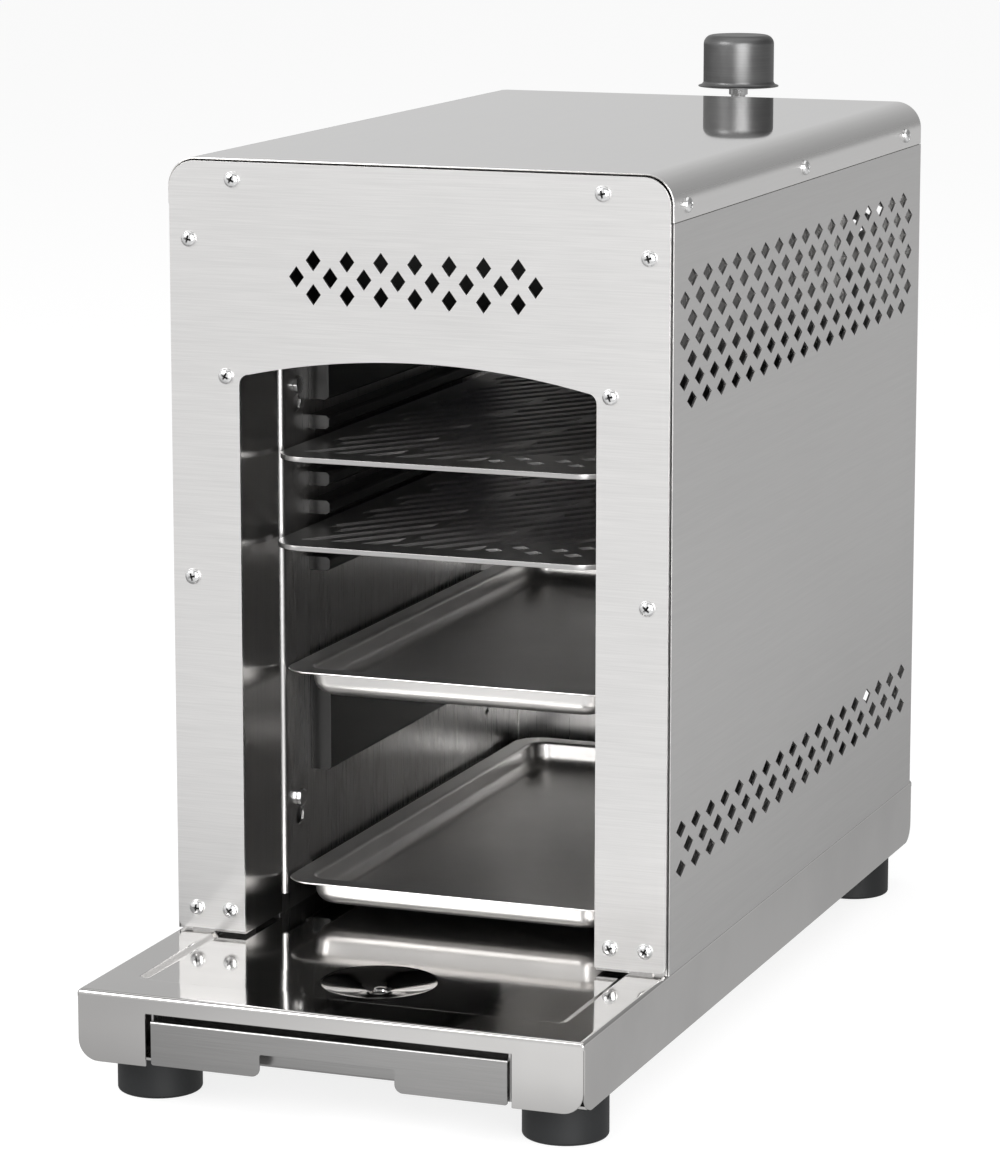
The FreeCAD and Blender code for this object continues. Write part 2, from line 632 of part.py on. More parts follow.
def make_base():
    """Folded base pan: walls with rounded lower corners, drip recess and drain funnel."""
    body = new_body("base_pan")
    gauge = d.base_gauge
    side = d.base_width / 2
    across = (-side, side)
    rear_inside = BASE_REAR - gauge
    slab(body, "Pad", "XY", [rectangle(across, (BASE_FRONT, BASE_REAR))], BASE_TOP - gauge, BASE_TOP)
    opening = d.opening_width / 2
    opening_top = BASE_BOTTOM + d.opening_height
    corner = d.base_corner
    front_wall = [
        (-side + corner, BASE_BOTTOM), (-opening, BASE_BOTTOM), (-opening, opening_top),
        (opening, opening_top), (opening, BASE_BOTTOM), (side - corner, BASE_BOTTOM, corner),
        (side, BASE_BOTTOM + corner), (side, BASE_TOP), (-side, BASE_TOP),
        (-side, BASE_BOTTOM + corner, corner),
    ]
    slab(body, "Pad", "XZ", [front_wall], BASE_FRONT, BASE_FRONT + gauge)
    rear_wall = [
        (-side + corner, BASE_BOTTOM), (side - corner, BASE_BOTTOM, corner),
        (side, BASE_BOTTOM + corner), (side, BASE_TOP), (-side, BASE_TOP),
        (-side, BASE_BOTTOM + corner, corner),
    ]
    slab(body, "Pad", "XZ", [rear_wall], rear_inside, BASE_REAR)
    side_wall = [
        (BASE_FRONT + corner, BASE_BOTTOM), (BASE_REAR - corner, BASE_BOTTOM, corner),
        (BASE_REAR, BASE_BOTTOM + corner), (BASE_REAR, BASE_TOP), (BASE_FRONT, BASE_TOP),
        (BASE_FRONT, BASE_BOTTOM + corner, corner),
    ]
    flange_ends = (BASE_FRONT + corner, BASE_REAR - corner)
    for name, sign in SIDES:
        wall = mirrored(sign, side - gauge, side)
        slab(body, "Pad", "YZ", [side_wall], *wall)
        flange = mirrored(sign, side - d.foot_flange_width, side)
        slab(body, "Pad", "XY", [rectangle(flange, flange_ends)], BASE_BOTTOM, BASE_BOTTOM + gauge)
    floor = RECESS_FLOOR
    half = d.recess_width / 2
    start = BASE_FRONT + d.recess_margin
    end = start + d.recess_length
    pan = rectangle((-half - gauge, half + gauge), (start - gauge, end + gauge))
    slab(body, "Pad", "XY", [pan], floor - gauge, BASE_TOP - gauge)
    slab(body, "Pocket", "XY", [rectangle((-half, half), (start, end))], floor, BASE_TOP + gauge)
    doc.recompute()
    drain = BASE_FRONT + d.drain_setback
    wide = d.drain_width / 2
    hole = d.drain_hole / 2
    bowl = cone("drain_bowl", hole + gauge, wide + gauge, floor - gauge - d.drain_depth, floor - gauge,
                y=drain)
    hollow = cone("drain_hollow", hole, wide, floor - d.drain_depth, floor, y=drain)
    bore = rod("drain_bore", hole, floor - d.drain_depth - gauge * 2, floor, y=drain)
    screw_holes = [prism("base_bore", d.foot_bore / 2, BASE_BOTTOM - gauge, BASE_BOTTOM + gauge * 2, x, y)
                   for x, y, row, name in foot_places()]
    node("base_pan", cut("base_pan", fuse("base_with_bowl", body, bowl), hollow, bore, *screw_holes))


def foot_places():
    """(x, y, row, side) of the four feet."""
    side = d.base_width / 2 - d.foot_inset_side
    rows = (("front", BASE_FRONT + d.foot_inset_front), ("rear", BASE_REAR - d.foot_inset_rear))
    return [(side * sign, y, row, name) for row, y in rows for name, sign in SIDES]


def make_feet():
    """Four rubber feet and the screws that hold them to the base flanges."""
    radius = d.foot_diameter / 2
    depth = d.foot_counterbore_depth
    head_low = depth - d.foot_screw_head_height
    shank_end = BASE_BOTTOM + d.base_gauge * 3
    screws = []
    for x, y, row, name in foot_places():
        puck = prism("foot_puck", radius, ZERO, d.foot_height, sides=round(d.foot_sides.value))
        recess = prism("foot_recess", d.foot_counterbore / 2, ZERO, depth)
        bore = prism("foot_bore", d.foot_bore / 2, ZERO, d.foot_height)
        foot = node(f"foot_{row}_{name}", cut(f"foot_{row}_{name}", puck, recess, bore), y)
        foot.setExpression("Placement.Base.x", x.text)
        head = prism("foot_screw_top", d.foot_screw_head / 2, head_low, depth, x, y)
        shank = prism("foot_screw_rod", d.foot_screw_shank / 2, depth, shank_end, x, y)
        screws.append(fuse("foot_screw", head, shank))
    node("foot_screws", compound("foot_screws", screws))


def compound(name, pieces):
    """A group of separate solids."""
    group = doc.addObject("Part::Compound", name)
    group.Links = list(pieces)
    return group


def make_runners():
    """L-shaped runners under the base top, one on each side of the grease drawer."""
    low = BASE_BOTTOM + d.runner_lift
    pan_under = BASE_TOP - d.recess_depth - d.base_gauge
    web = d.base_width / 2 - d.foot_flange_width - d.runner_gauge
    start = BASE_FRONT + d.base_gauge * 3
    length = (start, start + d.runner_length)
    for name, sign in SIDES:
        body = new_body(f"drawer_runner_{name}")
        outline = on_side(sign, [
            (web - d.runner_ledge, low), (web + d.runner_gauge, low),
            (web + d.runner_gauge, pan_under), (web, pan_under),
            (web, low + d.runner_gauge), (web - d.runner_ledge, low + d.runner_gauge),
        ])
        slab(body, "Pad", "XZ", [outline], *length)
        node(f"drawer_runner_{name}", body)


def make_drawer():
    """Grease drawer: a shallow box behind a front with a hemmed top and a finger notch."""
    gauge = d.drawer_gauge
    half = d.base_width / 2 - d.foot_flange_width - d.runner_gauge - d.drawer_side_gap
    floor = BASE_BOTTOM + d.runner_lift + d.runner_gauge + d.drawer_gap
    front = BASE_FRONT + d.drawer_front_setback
    body_front = front + d.drawer_hem
    rear = body_front + d.drawer_length
    body = new_body("grease_drawer")
    low = BASE_BOTTOM + d.drawer_front_lift
    top = low + d.drawer_front_height
    wide = d.drawer_front_width / 2
    notch = d.notch_width / 2
    notch_top = low + d.notch_height
    corner = d.notch_corner
    outline = [
        (-wide, low), (-notch - corner, low, corner), (-notch, low + corner),
        (-notch, notch_top), (notch, notch_top), (notch, low + corner, corner),
        (notch + corner, low), (wide, low), (wide, top), (-wide, top),
    ]
    slab(body, "Pad", "XZ", [outline], front, front + gauge)
    hem = rectangle((-half, half), (front, body_front + gauge))
    slab(body, "Pad", "XY", [hem], top - gauge, top)
    wall = (floor, floor + d.drawer_wall)
    slab(body, "Pad", "XY", [rectangle((-half, half), (body_front, rear))], *wall)
    slab(body, "Pad", "XZ", [rectangle((-half, half), (floor, top))], body_front, body_front + gauge)
    hollow = rectangle((-half + gauge, half - gauge), (body_front + gauge, rear - gauge))
    slab(body, "Pocket", "XY", [hollow], floor + gauge, top + gauge)
    node("grease_drawer", body)


# Case

def plate_screw_places():
    """(x, z) of the face plate screws on the right half."""
    return [
        (d.screw_in_top, PLATE_BOTTOM + d.screw_top_height),
        (d.screw_out, PLATE_BOTTOM + d.screw_shoulder_height),
        (d.screw_in_arch, PLATE_BOTTOM + d.screw_arch_height),
        (d.screw_out, PLATE_BOTTOM + d.screw_middle_height),
        (d.screw_out, PLATE_BOTTOM + d.screw_foot_height),
        (d.screw_in_foot, PLATE_BOTTOM + d.screw_foot_height),
    ]


def ring(x, y, radius):
    """The corners of a small hole round its middle, as plain numbers."""
    step = 2 * math.pi / SMALL_SIDES
    return [(x + radius * math.cos(step * turn), y + radius * math.sin(step * turn))
            for turn in range(SMALL_SIDES)]


def rhombus(x, y, width, tall):
    """The four corners of a vent round its middle, as plain numbers."""
    return [(x - width / 2, y), (x, y - tall / 2), (x + width / 2, y), (x, y + tall / 2)]


def vent_rows(first, pitch, columns, rows, top, rise, short_first):
    """Middles of staggered vents: long rows have all columns, short rows one less."""
    middles = []
    for row in range(rows):
        short = (row % 2 == 0) == short_first
        start = first + (pitch / 2 if short else 0)
        for column in range(columns - 1 if short else columns):
            middles.append((start + column * pitch, top - row * rise))
    return middles


def prisms(outlines, to_point, along):
    """Extrude flat outlines along a vector into one compound of cutters."""
    cutters = []
    for outline in outlines:
        points = [to_point(a, b) for a, b in outline]
        wire = Part.makePolygon(points + [points[0]])
        cutters.append(Part.Face(wire).extrude(along))
    return Part.makeCompound(cutters)


def perforate(name, body, *fields):
    """Cut fields of openings through a body. Each is (outlines, to_point, along)."""
    tool = doc.addObject("Part::Feature", name + "_openings")
    tool.Shape = Part.makeCompound([prisms(*field) for field in fields])
    result = doc.addObject("Part::Cut", name)
    result.Base = body
    result.Tool = tool
    return result


def make_face_plate():
    """Face plate with its arched window, screw holes and a band of vents."""
    body = new_body("face_plate")
    half = d.plate_width / 2
    corner = d.plate_corner
    foot = d.plate_foot_corner
    window = d.window_width / 2
    turn = d.window_corner
    shoulder = PLATE_BOTTOM + d.window_shoulder
    rise = d.window_crown - d.window_shoulder
    chord = window - turn
    arch = (chord * chord + rise * rise) / (rise * 2)
    low = PLATE_BOTTOM
    outline = [
        (-window, low), (-window, shoulder - turn), (-window + turn, shoulder),
        (window - turn, shoulder), (window, shoulder - turn), (window, low),
        (half - foot, low, foot), (half, low + foot), (half, CASE_TOP - corner, corner),
        (half - corner, CASE_TOP), (-half + corner, CASE_TOP, corner), (-half, CASE_TOP - corner),
        (-half, low + foot, foot), (-half + foot, low),
    ]
    slab(body, "Pad", "XZ", [outline], ZERO, PLATE_BACK)
    arch_loop = [(chord, shoulder, arch), (-chord, shoulder)]
    corner_loop = [(chord, shoulder - turn), (window, shoulder - turn, turn), (chord, shoulder)]
    through = (-PLATE_BACK, PLATE_BACK * 2)
    slab(body, "Pocket", "XZ", [arch_loop], *through)
    slab(body, "Pocket", "XZ", [on_side(sign, corner_loop) for side, sign in SIDES], *through)
    columns = round(d.face_vent_columns.value)
    pitch = d.face_vent_pitch.value
    middles = vent_rows(-pitch * (columns - 1) / 2, pitch, columns, round(d.face_vent_rows.value),
                        (PLATE_BOTTOM + d.face_vent_height + d.face_vent_rise).value,
                        d.face_vent_rise.value, True)
    outlines = [rhombus(x, z, d.face_vent_width.value, d.face_vent_tall.value) for x, z in middles]
    outlines += [ring(x.value * sign, z.value, d.screw_hole.value / 2)
                 for x, z in plate_screw_places() for side, sign in SIDES]
    thick = d.plate_gauge.value
    field = (outlines, lambda a, b: FreeCAD.Vector(a, -thick, b), FreeCAD.Vector(0, thick * 3, 0))
    node("face_plate", perforate("face_plate", body, field))


def pan_screw(x, y, z, turn):
    """A pan head screw. Its head stands on a face at (x, y, z) and turn aims it out of the face."""
    rims = []
    for radius, height in ((d.screw_head, ZERO), (d.screw_head * 0.72, d.screw_head_height)):
        rims.append([FreeCAD.Vector(a, b, height.value) for a, b in ring(0, 0, radius.value / 2)])
    low, high = rims
    outlines = [low, high]
    outlines += [[low[i - 1], low[i], high[i], high[i - 1]] for i in range(SMALL_SIDES)]
    faces = [Part.Face(Part.makePolygon(points + [points[0]])) for points in outlines]
    head = Part.makeSolid(Part.makeShell(faces))
    shank = prisms([ring(0, 0, d.screw_shank.value / 2)], lambda a, b: FreeCAD.Vector(a, b, 0),
                   FreeCAD.Vector(0, 0, -d.screw_length.value))
    screw = head.fuse(shank).removeSplitter().Solids[0]
    screw.Placement = FreeCAD.Placement(FreeCAD.Vector(x, y, z), turn)
    return screw


def screw_group(name, places):
    """Equal screws in one node. Each place is (x, y, z, direction of the head)."""
    up = FreeCAD.Vector(0, 0, 1)
    screws = [pan_screw(x, y, z, FreeCAD.Rotation(up, FreeCAD.Vector(*way))) for x, y, z, way in places]
    group = doc.addObject("Part::Feature", name)
    group.Shape = Part.makeCompound(screws)
    node(name, group)


def make_plate_screws():
    """Screws that hold the face plate to the front columns."""
    places = []
    for x, z in plate_screw_places():
        for side, sign in SIDES:
            places.append((x.value * sign, 0, z.value, (0, -1, 0)))
    screw_group("face_plate_screws", places)


def make_jambs():
    """Front columns: channels that carry the face plate and line the window."""
    for name, sign in SIDES:
        body = new_body(f"jamb_{name}")
        gauge = d.sheet
        outer = JAMB_FACE + gauge
        outline = on_side(sign, [
            (JAMB_FACE, PLATE_BACK), (JAMB_FACE + d.jamb_flange, PLATE_BACK),
            (JAMB_FACE + d.jamb_flange, PLATE_BACK + gauge), (outer, PLATE_BACK + gauge),
            (outer, JAMB_REAR - gauge), (JAMB_FACE + d.jamb_return, JAMB_REAR - gauge),
            (JAMB_FACE + d.jamb_return, JAMB_REAR), (JAMB_FACE, JAMB_REAR),
        ])
        slab(body, "Pad", "XY", [outline], BASE_TOP, CASE_TOP - gauge * 3)
        node(f"jamb_{name}", perforate(f"jamb_{name}", body, plate_screw_holes(sign)))


def plate_screw_holes(sign):
    """Field of the holes that the plate screws of one side are driven into."""
    outlines = [ring(x.value * sign, z.value, d.screw_shank.value / 2) for x, z in plate_screw_places()]
    depth = FreeCAD.Vector(0, d.screw_length.value + 1, 0)
    return outlines, lambda a, b: FreeCAD.Vector(a, 0, b), depth


def make_lintel():
    """Lintel behind the top of the face plate: ceiling of the window and front of the burner bay."""
    body = new_body("lintel")
    gauge = d.sheet
    low = BURNER_Z - d.burner_rail_gauge
    outline = [
        (PLATE_BACK, low), (JAMB_REAR, low), (JAMB_REAR, LINER_TOP), (JAMB_REAR - gauge, LINER_TOP),
        (JAMB_REAR - gauge, low + gauge), (PLATE_BACK, low + gauge),
    ]
    slab(body, "Pad", "YZ", [outline], -JAMB_FACE, JAMB_FACE)
    node("lintel", body)


def make_side_panels():
    """Side panels with their two fields of rhombic vents and a folded front lip."""
    columns = round(d.vent_columns.value)
    base = BASE_TOP.value
    fields = (
        (round(d.vent_upper_rows.value), base + d.vent_upper_top.value, True),
        (round(d.vent_lower_rows.value), base + d.vent_lower_top.value, False),
    )
    middles = []
    for rows, top, short_first in fields:
        middles += vent_rows(d.vent_first.value, d.vent_pitch.value, columns, rows, top,
                             d.vent_rise.value, short_first)
    outlines = [rhombus(y, z, d.vent_length.value, d.vent_tall.value) for y, z in middles]
    front = PLATE_BACK + d.sheet
    for name, sign in SIDES:
        body = new_body(f"side_panel_{name}")
        outline = on_side(sign, [
            (PANEL_IN, front + d.sheet), (PANEL_IN - d.lip, front + d.sheet),
            (PANEL_IN - d.lip, front), (CASE_SIDE, front),
            (CASE_SIDE, d.case_depth), (PANEL_IN, d.case_depth),
        ])
        slab(body, "Pad", "XY", [outline], BASE_TOP, SEAM - d.seam_gap)
        start = PANEL_IN.value * sign - sign
        field = (outlines, lambda a, b, x=start: FreeCAD.Vector(x, a, b),
                 FreeCAD.Vector((d.sheet.value + 2) * sign, 0, 0))
        node(f"side_panel_{name}",
             perforate(f"side_panel_{name}", body, field, plate_screw_holes(sign)))


def make_cover():
    """Top cover: one bent sheet with rounded long edges, side flanges and a rear flange."""
    body = new_body("top_cover")
    gauge = d.sheet
    corner = d.plate_corner
    low = SEAM
    front = PLATE_BACK
    rear = d.case_depth + gauge
    side = CASE_SIDE
    inner = corner - gauge
    solid = [
        (-side, low), (side, low), (side, CASE_TOP - corner, corner), (side - corner, CASE_TOP),
        (-side + corner, CASE_TOP, corner), (-side, CASE_TOP - corner),
    ]
    hollow = [
        (-side + gauge, low - gauge), (side - gauge, low - gauge),
        (side - gauge, CASE_TOP - corner, inner), (side - corner, CASE_TOP - gauge),
        (-side + corner, CASE_TOP - gauge, inner), (-side + gauge, CASE_TOP - corner),
    ]
    slab(body, "Pad", "XZ", [solid], front, rear)
    slab(body, "Pocket", "XZ", [hollow], front - gauge, rear - gauge)
    node("top_cover", perforate("top_cover", body, cover_screw_holes(d.screw_hole)))


def cover_screw_places():
    """Distances of the cover screws from the face plate."""
    return [d.cover_screw_first + d.cover_screw_pitch * index for index in range(3)]


def cover_screw_holes(diameter):
    """Field of holes for the cover screws, right across the case."""
    height = (CASE_TOP - d.cover_screw_drop).value
    outlines = [ring(y.value, height, diameter.value / 2) for y in cover_screw_places()]
    width = d.case_width.value
    return outlines, lambda a, b: FreeCAD.Vector(-width, a, b), FreeCAD.Vector(width * 2, 0, 0)


def make_top_rails():
    """Rails behind the seams, which the cover screws are driven into."""
    top = CASE_TOP - d.plate_corner
    front = PLATE_BACK + d.sheet * 2
    for name, sign in SIDES:
        body = new_body(f"top_rail_{name}")
        strip = mirrored(sign, PANEL_IN - d.sheet, PANEL_IN)
        length = (front, d.case_depth - d.lip)
        slab(body, "Pad", "XY", [rectangle(strip, length)], top - d.top_rail_height, top)
        node(f"top_rail_{name}",
             perforate(f"top_rail_{name}", body, cover_screw_holes(d.screw_shank)))


def make_cover_screws():
    """Screws through the side flanges of the cover, three on each side."""
    z = (CASE_TOP - d.cover_screw_drop).value
    places = []
    for y in cover_screw_places():
        for side, sign in SIDES:
            places.append((CASE_SIDE.value * sign, y.value, z, (sign, 0, 0)))
    screw_group("cover_screws", places)


def make_rear_panel():
    """Rear panel with matching vents, holes for the mixing tube and the ignition lead."""
    body = new_body("rear_panel")
    side = PANEL_IN
    rear = d.case_depth
    top = CASE_TOP - d.plate_corner
    slab(body, "Pad", "XZ", [rectangle((-side, side), (BASE_TOP, top))], rear - d.sheet, rear)
    for name, sign in SIDES:
        lip = mirrored(sign, side - d.sheet, side)
        slab(body, "Pad", "XY", [rectangle(lip, (rear - d.lip, rear))], BASE_TOP, top)
    slab(body, "Pocket", "XZ", [], rear - d.sheet * 2, rear + d.sheet,
         [(ZERO, TUBE_Z, d.tube_diameter / 2)])
    columns = round(d.rear_vent_columns.value)
    pitch = d.vent_pitch.value
    middles = []
    base = BASE_TOP.value
    rows = round(d.rear_vent_rows.value)
    for top, short_first in ((d.vent_upper_top.value, True), (d.vent_lower_top.value, False)):
        middles += vent_rows(-pitch * (columns - 1) / 2, pitch, columns, rows, base + top,
                             d.vent_rise.value, short_first)
    clear = d.rear_vent_clear.value
    middle_height = base + d.vent_lower_top.value + d.vent_tall.value
    middles = [(x, z) for x, z in middles if abs(x) > clear or z < middle_height]
    outlines = [rhombus(x, z, d.vent_length.value, d.vent_tall.value) for x, z in middles]
    outlines += [ring(x.value, z.value, d.screw_shank.value / 2) for x, z in bracket_screw_places()]
    outlines.append(ring(-d.lead_side.value, LEAD_Z.value, d.grommet_neck.value / 2))
    start = rear.value - d.sheet.value * 2
    field = (outlines, lambda a, b: FreeCAD.Vector(a, start, b),
             FreeCAD.Vector(0, d.sheet.value * 3, 0))
    node("rear_panel", perforate("rear_panel", body, field))


# Chamber

def make_liners():
    """Side liners of the chamber, with a lip behind each front column."""
    for name, sign in SIDES:
        body = new_body(f"liner_{name}")
        front = JAMB_REAR
        outline = on_side(sign, [
            (LINER_IN, front), (LINER_OUT + d.lip, front),
            (LINER_OUT + d.lip, front + d.sheet), (LINER_OUT, front + d.sheet),
            (LINER_OUT, d.chamber_depth), (LINER_IN, d.chamber_depth),
        ])
        slab(body, "Pad", "XY", [outline], RECESS_FLOOR, LINER_TOP)
        node(f"liner_{name}", body)


def make_chamber_back():
    """Back wall of the chamber, folded forward along both liners."""
    body = new_body("chamber_back")
    rear = d.chamber_depth + d.sheet
    outline = [
        (-LINER_IN, d.chamber_depth - d.lip), (-LINER_IN + d.sheet, d.chamber_depth - d.lip),
        (-LINER_IN + d.sheet, d.chamber_depth), (LINER_IN - d.sheet, d.chamber_depth),
        (LINER_IN - d.sheet, d.chamber_depth - d.lip), (LINER_IN, d.chamber_depth - d.lip),
        (LINER_IN, rear), (-LINER_IN, rear),
    ]
    slab(body, "Pad", "XY", [outline], RECESS_FLOOR, BASE_TOP + d.back_height)
    node("chamber_back", body)


def rail_levels():
    """(low, high) of every rail of a rack wall, from the head rail down."""
    head = BASE_TOP + d.head_rail_low
    levels = [(head, head + d.head_rail_height)]
    for index in range(round(d.rail_count.value)):
        top = BASE_TOP + d.rail_top - d.rail_pitch * index
        levels.append((top - d.rail_height, top))
    tray = BASE_TOP + d.tray_rail_top
    levels.append((tray - d.tray_rail_height, tray))
    low = BASE_TOP + d.floor_rail_top
    levels.append((low - d.floor_rail_height, low))
    return levels


def keyhole(y, z):
    """Outline of a keyhole that hangs on a stud at (y, z): a round entry under a narrow slot."""
    half = d.stud_shank.value / 2
    entry = d.keyhole_entry.value / 2
    middle = z - d.keyhole_drop.value
    first = math.acos(half / entry)
    step = (math.pi + 2 * first) / (SMALL_SIDES - 2)
    outline = [(y + entry * math.cos(first - step * turn), middle + entry * math.sin(first - step * turn))
               for turn in range(SMALL_SIDES - 1)]
    return outline + [(y - half, z + half), (y + half, z + half)]


def make_racks():
    """Rack walls: a sheet with a curled front edge and a step, hung by keyholes. The rails are
    channels, open towards the wall that they are welded to."""
    gauge = d.rack_gauge
    out = RACK_IN + gauge
    deep = RACK_IN + d.rack_step_depth
    back = deep + gauge
    curl = d.rack_curl
    middle = RACK_IN + curl
    front = d.rack_front
    low = BASE_TOP + d.rack_low
    rail_rear = d.rack_rear - d.rail_end
    turn = d.rail_bevel
    crown = RAIL_CROWN
    keyholes = [keyhole(y.value, z.value) for y, z in stud_places()]
    for name, sign in SIDES:
        body = new_body(f"rack_{name}")
        plan = on_side(sign, [
            (RACK_IN, front + curl, curl), (middle, front), (middle, front + gauge, curl - gauge, "right"),
            (out, front + curl), (out, d.rack_step), (back, d.rack_step), (back, d.rack_rear),
            (deep, d.rack_rear), (deep, d.rack_step + gauge), (RACK_IN, d.rack_step + gauge),
        ])
        slab(body, "Pad", "XY", [plan], low, low + d.rack_height)
        start = (RACK_IN - gauge).value * sign
        field = (keyholes, lambda a, b, x=start: FreeCAD.Vector(x, a, b),
                 FreeCAD.Vector((back - RACK_IN + gauge * 2).value * sign, 0, 0))
        node(f"rack_{name}", perforate(f"rack_{name}", body, field))

        body = new_body(f"rack_rails_{name}")
        rails = []
        hollows = []
        for bottom, top in rail_levels():
            rails.append(on_side(sign, [
                (crown + turn, bottom), (deep, bottom), (deep, top), (crown + turn, top),
                (crown, top - turn), (crown, bottom + turn),
            ]))
            hollows.append(rectangle(mirrored(sign, crown + gauge, back), (bottom + gauge, top - gauge)))
        slab(body, "Pad", "XZ", rails, d.rail_start, rail_rear)
        slab(body, "Pocket", "XZ", hollows, d.rail_start + gauge, rail_rear - gauge)
        node(f"rack_rails_{name}", body)


def stud_places():
    """(y, z) of the rack studs on one side."""
    rows = (d.stud_setback, d.rack_rear - d.stud_rear)
    return [(y, BASE_TOP + z) for y in rows for z in (d.stud_high, d.stud_low)]


def make_studs():
    """Shoulder studs on the liners that the rack walls hang on."""
    studs = []
    for y, z in stud_places():
        wall = RACK_IN if y is d.stud_setback else RACK_IN + d.rack_step_depth
        for name, sign in SIDES:
            head = prism("stud_head", d.stud_head / 2, *mirrored(sign, wall - d.stud_head_height, wall),
                         y=y, z=z, axis="X")
            shank = prism("stud_shank", d.stud_shank / 2, *mirrored(sign, wall, LINER_IN),
                          y=y, z=z, axis="X")
            studs.append(fuse("rack_stud", head, shank))
    node("rack_studs", compound("rack_studs", studs))


def slot_faces(front, rear):
    """Outlines of the slanted slots of a grate, in plan."""
    half = d.grate_width.value / 2 - d.grate_margin.value
    start = front + d.grate_margin.value * 1.6
    end = rear - d.grate_margin.value * 1.6
    slope = math.tan(math.radians(d.slot_angle.value))
    tall = d.slot_width.value / math.cos(math.radians(d.slot_angle.value)) / 2
    pitch = d.slot_pitch.value
    bridge = d.bridge_pitch.value
    gap = d.bridge_width.value / 2
    grid = d.grid_pitch.value
    corner = (half - grid * 2.9, start + grid * 0.95)
    field = [(-half, start), (corner[0], start), corner, (half, start + grid * 2.2), (half, end), (-half, end)]
    points = [FreeCAD.Vector(x, y, 0) for x, y in field]
    region = Part.Face(Part.makePolygon(points + [points[0]]))
    faces = []
    count = math.ceil((end - start + slope * half * 2) / pitch)
    for index in range(count):
        left = start + pitch * index - slope * half * 2 + pitch * 0.3
        corners = [(-half, left - tall), (half, left + slope * half * 2 - tall),
                   (half, left + slope * half * 2 + tall), (-half, left + tall)]
        points = [FreeCAD.Vector(x, y, 0) for x, y in corners]
        slot = Part.Face(Part.makePolygon(points + [points[0]])).common(region)
        offset = 0 if index % 2 else 1
        for place in range(-2, 3):
            x = (place * 2 + offset) * bridge - bridge * 0.6
            if abs(x) > half - gap:
                continue
            strip = Part.makePlane(gap * 2, end - start, FreeCAD.Vector(x - gap, start, 0))
            slot = slot.cut(strip)
        faces += [face for face in slot.Faces if face.Area > d.slot_width.value ** 2]
    return faces


def make_grates():
    """Two flat grates with slanted slots and small holes at one front corner."""
    half = d.grate_width / 2
    corner = d.grate_corner
    lands = {"upper": (1, d.grate_upper_front), "lower": (4, d.grate_lower_front)}
    for name, (land, front) in lands.items():
        low = BASE_TOP + d.rail_top - d.rail_pitch * land + d.rest_gap
        rear = front + d.grate_length
        body = new_body(f"grate_{name}")
        slab(body, "Pad", "XY", [rounded((-half, half), (front, rear), corner, corner)],
             low, low + d.grate_gauge)
        cutters = slot_faces(front.value, rear.value)
        grid = d.grid_pitch.value
        size = d.grid_hole.value
        base_x = half.value - d.grate_margin.value - grid * 0.65
        base_y = front.value + d.grate_margin.value * 1.6 + size * 0.9
        spots = [(0, 0), (1, 0), (2, 0), (0.5, 0.5), (1.5, 0.5), (0, 1)]
        for across, along in spots:
            x = base_x - grid * across
            y = base_y + grid * along
            points = [FreeCAD.Vector(a, b, 0) for a, b in rhombus(x, y, size * 1.5, size * 1.5)]
            cutters.append(Part.Face(Part.makePolygon(points + [points[0]])))
        tool = doc.addObject("Part::Feature", f"grate_{name}_slots")
        depth = FreeCAD.Vector(0, 0, d.grate_gauge.value + 2)
        shape = Part.makeCompound([face.extrude(depth) for face in cutters])
        shape.translate(FreeCAD.Vector(0, 0, low.value - 1))
        tool.Shape = shape
        result = doc.addObject("Part::Cut", f"grate_{name}")
        result.Base = body
        result.Tool = tool
        node(f"grate_{name}", result)


def edges_at(feature, height):
    """Names of the edges of a feature that lie flat at a height."""
    doc.recompute()
    names = []
    for number, edge in enumerate(feature.Shape.Edges, start=1):
        bounds = edge.BoundBox
        if abs(bounds.ZMin - height) < 0.001 and abs(bounds.ZMax - height) < 0.001:
            names.append(f"Edge{number}")
    return names


def bevel_edges(body, feature, height, size):
    """Chamfer the flat edges of a feature at a height."""
    chamfer = body.newObject("PartDesign::Chamfer", body.Name + "_chamfer")
    chamfer.Base = (feature, edges_at(feature, as_size(height).value))
    chamfer.setExpression("Size", as_size(size).text)
    return chamfer


def make_trays():
    """Two sheet trays: a bevelled pan under a flat flange."""
    half = d.tray_width / 2
    flange = d.tray_flange
    gauge = d.tray_gauge
    corner = d.tray_corner
    front = d.tray_front
    rear = front + d.tray_length
    levels = {"upper": d.tray_rail_top, "lower": d.floor_rail_top}
    inner_corner = corner - flange / 2
    for name, rail_top in levels.items():
        seat = BASE_TOP + rail_top + d.rest_gap
        bottom = seat + gauge - d.tray_depth
        body = new_body(f"tray_{name}")
        pan_x = (-half + flange, half - flange)
        pan_y = (front + flange, rear - flange)
        pan = slab(body, "Pad", "XY", [rounded(pan_x, pan_y, inner_corner, inner_corner)],
                   bottom, seat + gauge)
        pan = bevel_edges(body, pan, bottom, d.tray_foot)
        slab(body, "Pad", "XY", [rounded((-half, half), (front, rear), corner, corner)],
             seat, seat + gauge)
        hollow_x = (pan_x[0] + gauge, pan_x[1] - gauge)
        hollow_y = (pan_y[0] + gauge, pan_y[1] - gauge)
        radius = inner_corner - gauge
        hollow_body = new_body(f"tray_hollow_{name}")
        hollow = slab(hollow_body, "Pad", "XY", [rounded(hollow_x, hollow_y, radius, radius)],
                      bottom + gauge, seat + gauge * 2)
        bevel_edges(hollow_body, hollow, bottom + gauge, d.tray_foot - gauge * (2 - math.sqrt(2)))
        node(f"tray_{name}", cut(f"tray_{name}", body, hollow_body))


# Burner and gas fittings

